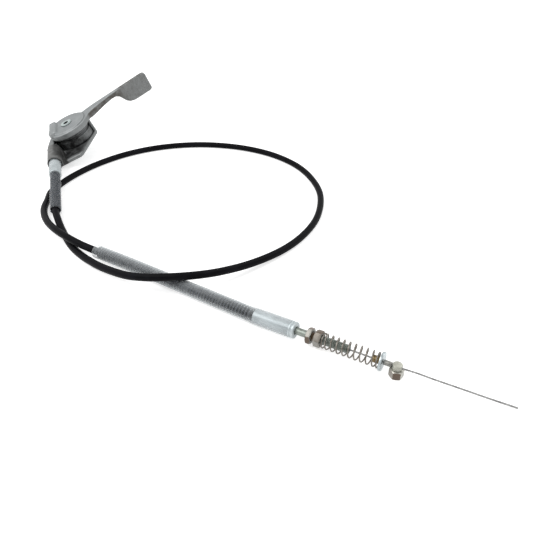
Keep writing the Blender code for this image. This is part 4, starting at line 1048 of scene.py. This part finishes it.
def sculpt_housing(mesh):
    """Painted shade and a darker film on the housing, and the lip of its outlet."""
    shade_and_grease = mesh.attributes.new("shade_and_grease", "FLOAT", "POINT")
    shade_and_grime = mesh.attributes.new("shade_and_grime", "FLOAT", "POINT")
    for vertex in mesh.vertices:
        place = vertex.co
        radius = math.hypot(place.x, place.y)
        # Painted shade, with some grease, in the pocket and its front part, lighter towards its right, round
        # the outlet's mouth and on the shaded side of its boss
        inside = reach(radius, 22.4, 20.8) * (0.45 + 0.55 * reach(place.x, 19, 6))
        front = reach(place.y, -2, -6) * slope(place.y, HOUSING_FRONT, HOUSING_FRONT + 7 * MM)
        front *= reach(place.x, 24, 15) * reach(place.x, -15.5, -13.5)
        front *= 0.35 + 0.65 * reach(place.x, 16, -2)
        height = slope(place.z, -HOUSING_DEPTH + 2 * MM, -HOUSING_DEPTH + 3.6 * MM)
        mouth = bell(math.hypot(place.x - OUTLET_X, place.z - WIRE_LEVEL), 6.6 * MM, 1.2 * MM)
        mouth *= slope(place.y, OUTLET_FRONT + 3 * MM, OUTLET_FRONT + 0.8 * MM)
        boss = reach(place.y, -21, -25) * reach(place.x, -12.5, -14.5)
        shaded = boss * slope(place.x, OUTLET_X + 0.5 * MM, OUTLET_X + 4.5 * MM)
        shaded *= slope(place.y, OUTLET_FRONT + 1 * MM, OUTLET_FRONT + 6 * MM)
        shade_and_grease.data[vertex.index].value = max(min(1.0, max(inside, front)) * height, mouth, 0.9 * shaded)
        # A darker film all over the housing, more on the outlet's boss
        shade_and_grime.data[vertex.index].value = 0.3 + 0.4 * boss
        # Longer, flared lip
        lip = slope(place.y, OUTLET_FRONT + 6 * MM, OUTLET_FRONT + 1 * MM)
        from_axis = Vector((place.x - OUTLET_X, 0.0, place.z - WIRE_LEVEL))
        if lip and LEVER_FERRULE_PLUG_RADIUS < from_axis.length < LIP_OUTER_RADIUS:
            place += from_axis.normalized() * (LIP_FLARE * lip)
        place.y -= LIP_LENGTH * lip


def make_lever_end():
    """Castings, pivot rivet, nipple, wires and the outlet ferrule."""
    lever = casting("cast_lever", "throttle_lever", LEVER_VOXEL, CAST, LEVER_FRAME, sculpt_lever)
    hold(lever, "lever", "die_cast", "throttle_lever")
    wall = [[Vector((x * MM, y * MM, level * MM)) for x, y in WALL_PATCH] for level in WALL_PATCH_LEVELS]
    housing = casting("cast_housing", "lever_housing", HOUSING_VOXEL, CAST, LEVER_FRAME, sculpt_housing, wall)
    hold(housing, "casing", "die_cast", "lever_housing")
    head_top = SEAT + RIVET_HEAD_HEIGHT
    tail_top = RIVET_RECESS - HOUSING_DEPTH - SEAT
    tail_bottom = tail_top - RIVET_HEAD_HEIGHT
    rivet = lathe("hollow_rivet", [
        (head_top, RIVET_HOLE_RADIUS), (tail_bottom, RIVET_HOLE_RADIUS),
        (tail_bottom, RIVET_TAIL_RADIUS), (tail_top, RIVET_TAIL_RADIUS), (tail_top, PIVOT_RADIUS),
        (SEAT, PIVOT_RADIUS), (SEAT, RIVET_HEAD_RADIUS), (head_top, RIVET_HEAD_RADIUS)],
        RIVET_LOOK, LEVER_FRAME, 0.5 * MM)
    hold(rivet, "casing", "zinc_plate", "pivot_rivet")
    edge = 0.5 * MM
    seat = CONDUIT_RADIUS + SEAT
    depth = LEVER_FERRULE_LENGTH - CONDUIT_SEAT_DEPTH
    ferrule = lathe("outlet_ferrule", [
        (LEVER_FERRULE_LENGTH, seat), (LEVER_FERRULE_LENGTH, LEVER_FERRULE_RADIUS - edge),
        (LEVER_FERRULE_LENGTH - edge, LEVER_FERRULE_RADIUS), (0.0, LEVER_FERRULE_RADIUS),
        (0.0, LEVER_FERRULE_PLUG_RADIUS), (edge - SOCKET_DEPTH, LEVER_FERRULE_PLUG_RADIUS),
        (-SOCKET_DEPTH, LEVER_FERRULE_PLUG_RADIUS - edge), (-SOCKET_DEPTH, WIRE_BORE_RADIUS),
        (depth, WIRE_BORE_RADIUS), (depth, seat)], PLATE, OUTLET_FRAME)
    hold(ferrule, "casing", "zinc_plate", "lever_ferrule")
    for node, look in (("friction_washer", SPRING_LOOK), ("lever_nipple", PLATE), ("drum_wire", WIRE_LOOK),
                       ("outlet_wire", WIRE_LOOK)):
        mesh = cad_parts[node].data
        mesh.materials.clear()
        mesh.materials.append(look)
        store_place(mesh)


def floor_look():
    """White floor that glows a little where it is seen directly, so that it keeps only a soft shadow."""
    look = bpy.data.materials.new("white_floor")
    look.use_nodes = True
    tree = look.node_tree
    tree.nodes.clear()
    kinds = ("OutputMaterial", "BsdfDiffuse", "Emission", "AddShader", "MixShader")
    out, paper, glow, both, choose = [tree.nodes.new("ShaderNode" + kind) for kind in kinds]
    paper.inputs["Color"].default_value = (0.86, 0.86, 0.86, 1.0)
    glow.inputs["Strength"].default_value = FLOOR_GLOW
    tree.links.new(paper.outputs[0], both.inputs[0])
    tree.links.new(glow.outputs[0], both.inputs[1])
    tree.links.new(seen_directly(tree), choose.inputs["Fac"])
    tree.links.new(paper.outputs[0], choose.inputs[1])
    tree.links.new(both.outputs[0], choose.inputs[2])
    tree.links.new(choose.outputs[0], out.inputs["Surface"])
    return look


def seen_directly(tree):
    """1 for rays from the camera, from gloss and through clear pieces."""
    path = tree.nodes.new("ShaderNodeLightPath")
    total = path.outputs["Is Camera Ray"]
    for name in ("Is Glossy Ray", "Is Transmission Ray"):
        either = tree.nodes.new("ShaderNodeMath")
        either.operation = "MAXIMUM"
        tree.links.new(total, either.inputs[0])
        tree.links.new(path.outputs[name], either.inputs[1])
        total = either.outputs[0]
    return total


def make_studio():
    """Floor, sky, two soft lamps and the camera."""
    scene = bpy.context.scene
    shape = bmesh.new()
    bmesh.ops.create_grid(shape, x_segments=1, y_segments=1, size=FLOOR_SIZE)
    floor = mesh_piece("studio_floor", shape, floor_look(), Matrix.Translation((0.0, 0.0, -0.05 * MM)))
    world = bpy.data.worlds.new("studio_sky")
    scene.world = world
    world.use_nodes = True
    tree = world.node_tree
    sky = tree.nodes["Background"]
    sky.inputs["Color"].default_value = (1.0, 1.0, 1.0, 1.0)
    strength = tree.nodes.new("ShaderNodeMapRange")
    strength.inputs["To Min"].default_value = SKY_STRENGTH
    strength.inputs["To Max"].default_value = 1.0
    tree.links.new(seen_directly(tree), strength.inputs["Value"])
    tree.links.new(strength.outputs["Result"], sky.inputs["Strength"])
    lamps = (("key_lamp", KEY_PLACE, 0.7, KEY_POWER), ("fill_lamp", FILL_PLACE, 0.6, FILL_POWER))
    for name, place, size, power in lamps:
        data = bpy.data.lights.new(name, "AREA")
        data.shape = "DISK"
        data.size = size
        data.energy = power
        lamp = add_object(name, data)
        lamp.location = place
        lamp.rotation_euler = (-place).to_track_quat("-Z", "Y").to_euler()
    data = bpy.data.cameras.new("photo_camera")
    data.sensor_width = SENSOR_WIDTH
    data.lens = SENSOR_WIDTH * FOCAL_PIXELS / IMAGE_SIZE
    data.clip_start = 0.01
    camera = add_object("photo_camera", data)
    camera.location = CAMERA_PLACE
    camera.rotation_euler = (math.pi / 2 - CAMERA_PITCH, 0.0, 0.0)
    scene.camera = camera
    scene.view_settings.view_transform = "Standard"


make_studio()
route = conduit_curve()
make_conduit(route)
make_bare_wire(wire_curve())
make_guards(route)
make_adjuster()
make_clamp()
make_lever_end()
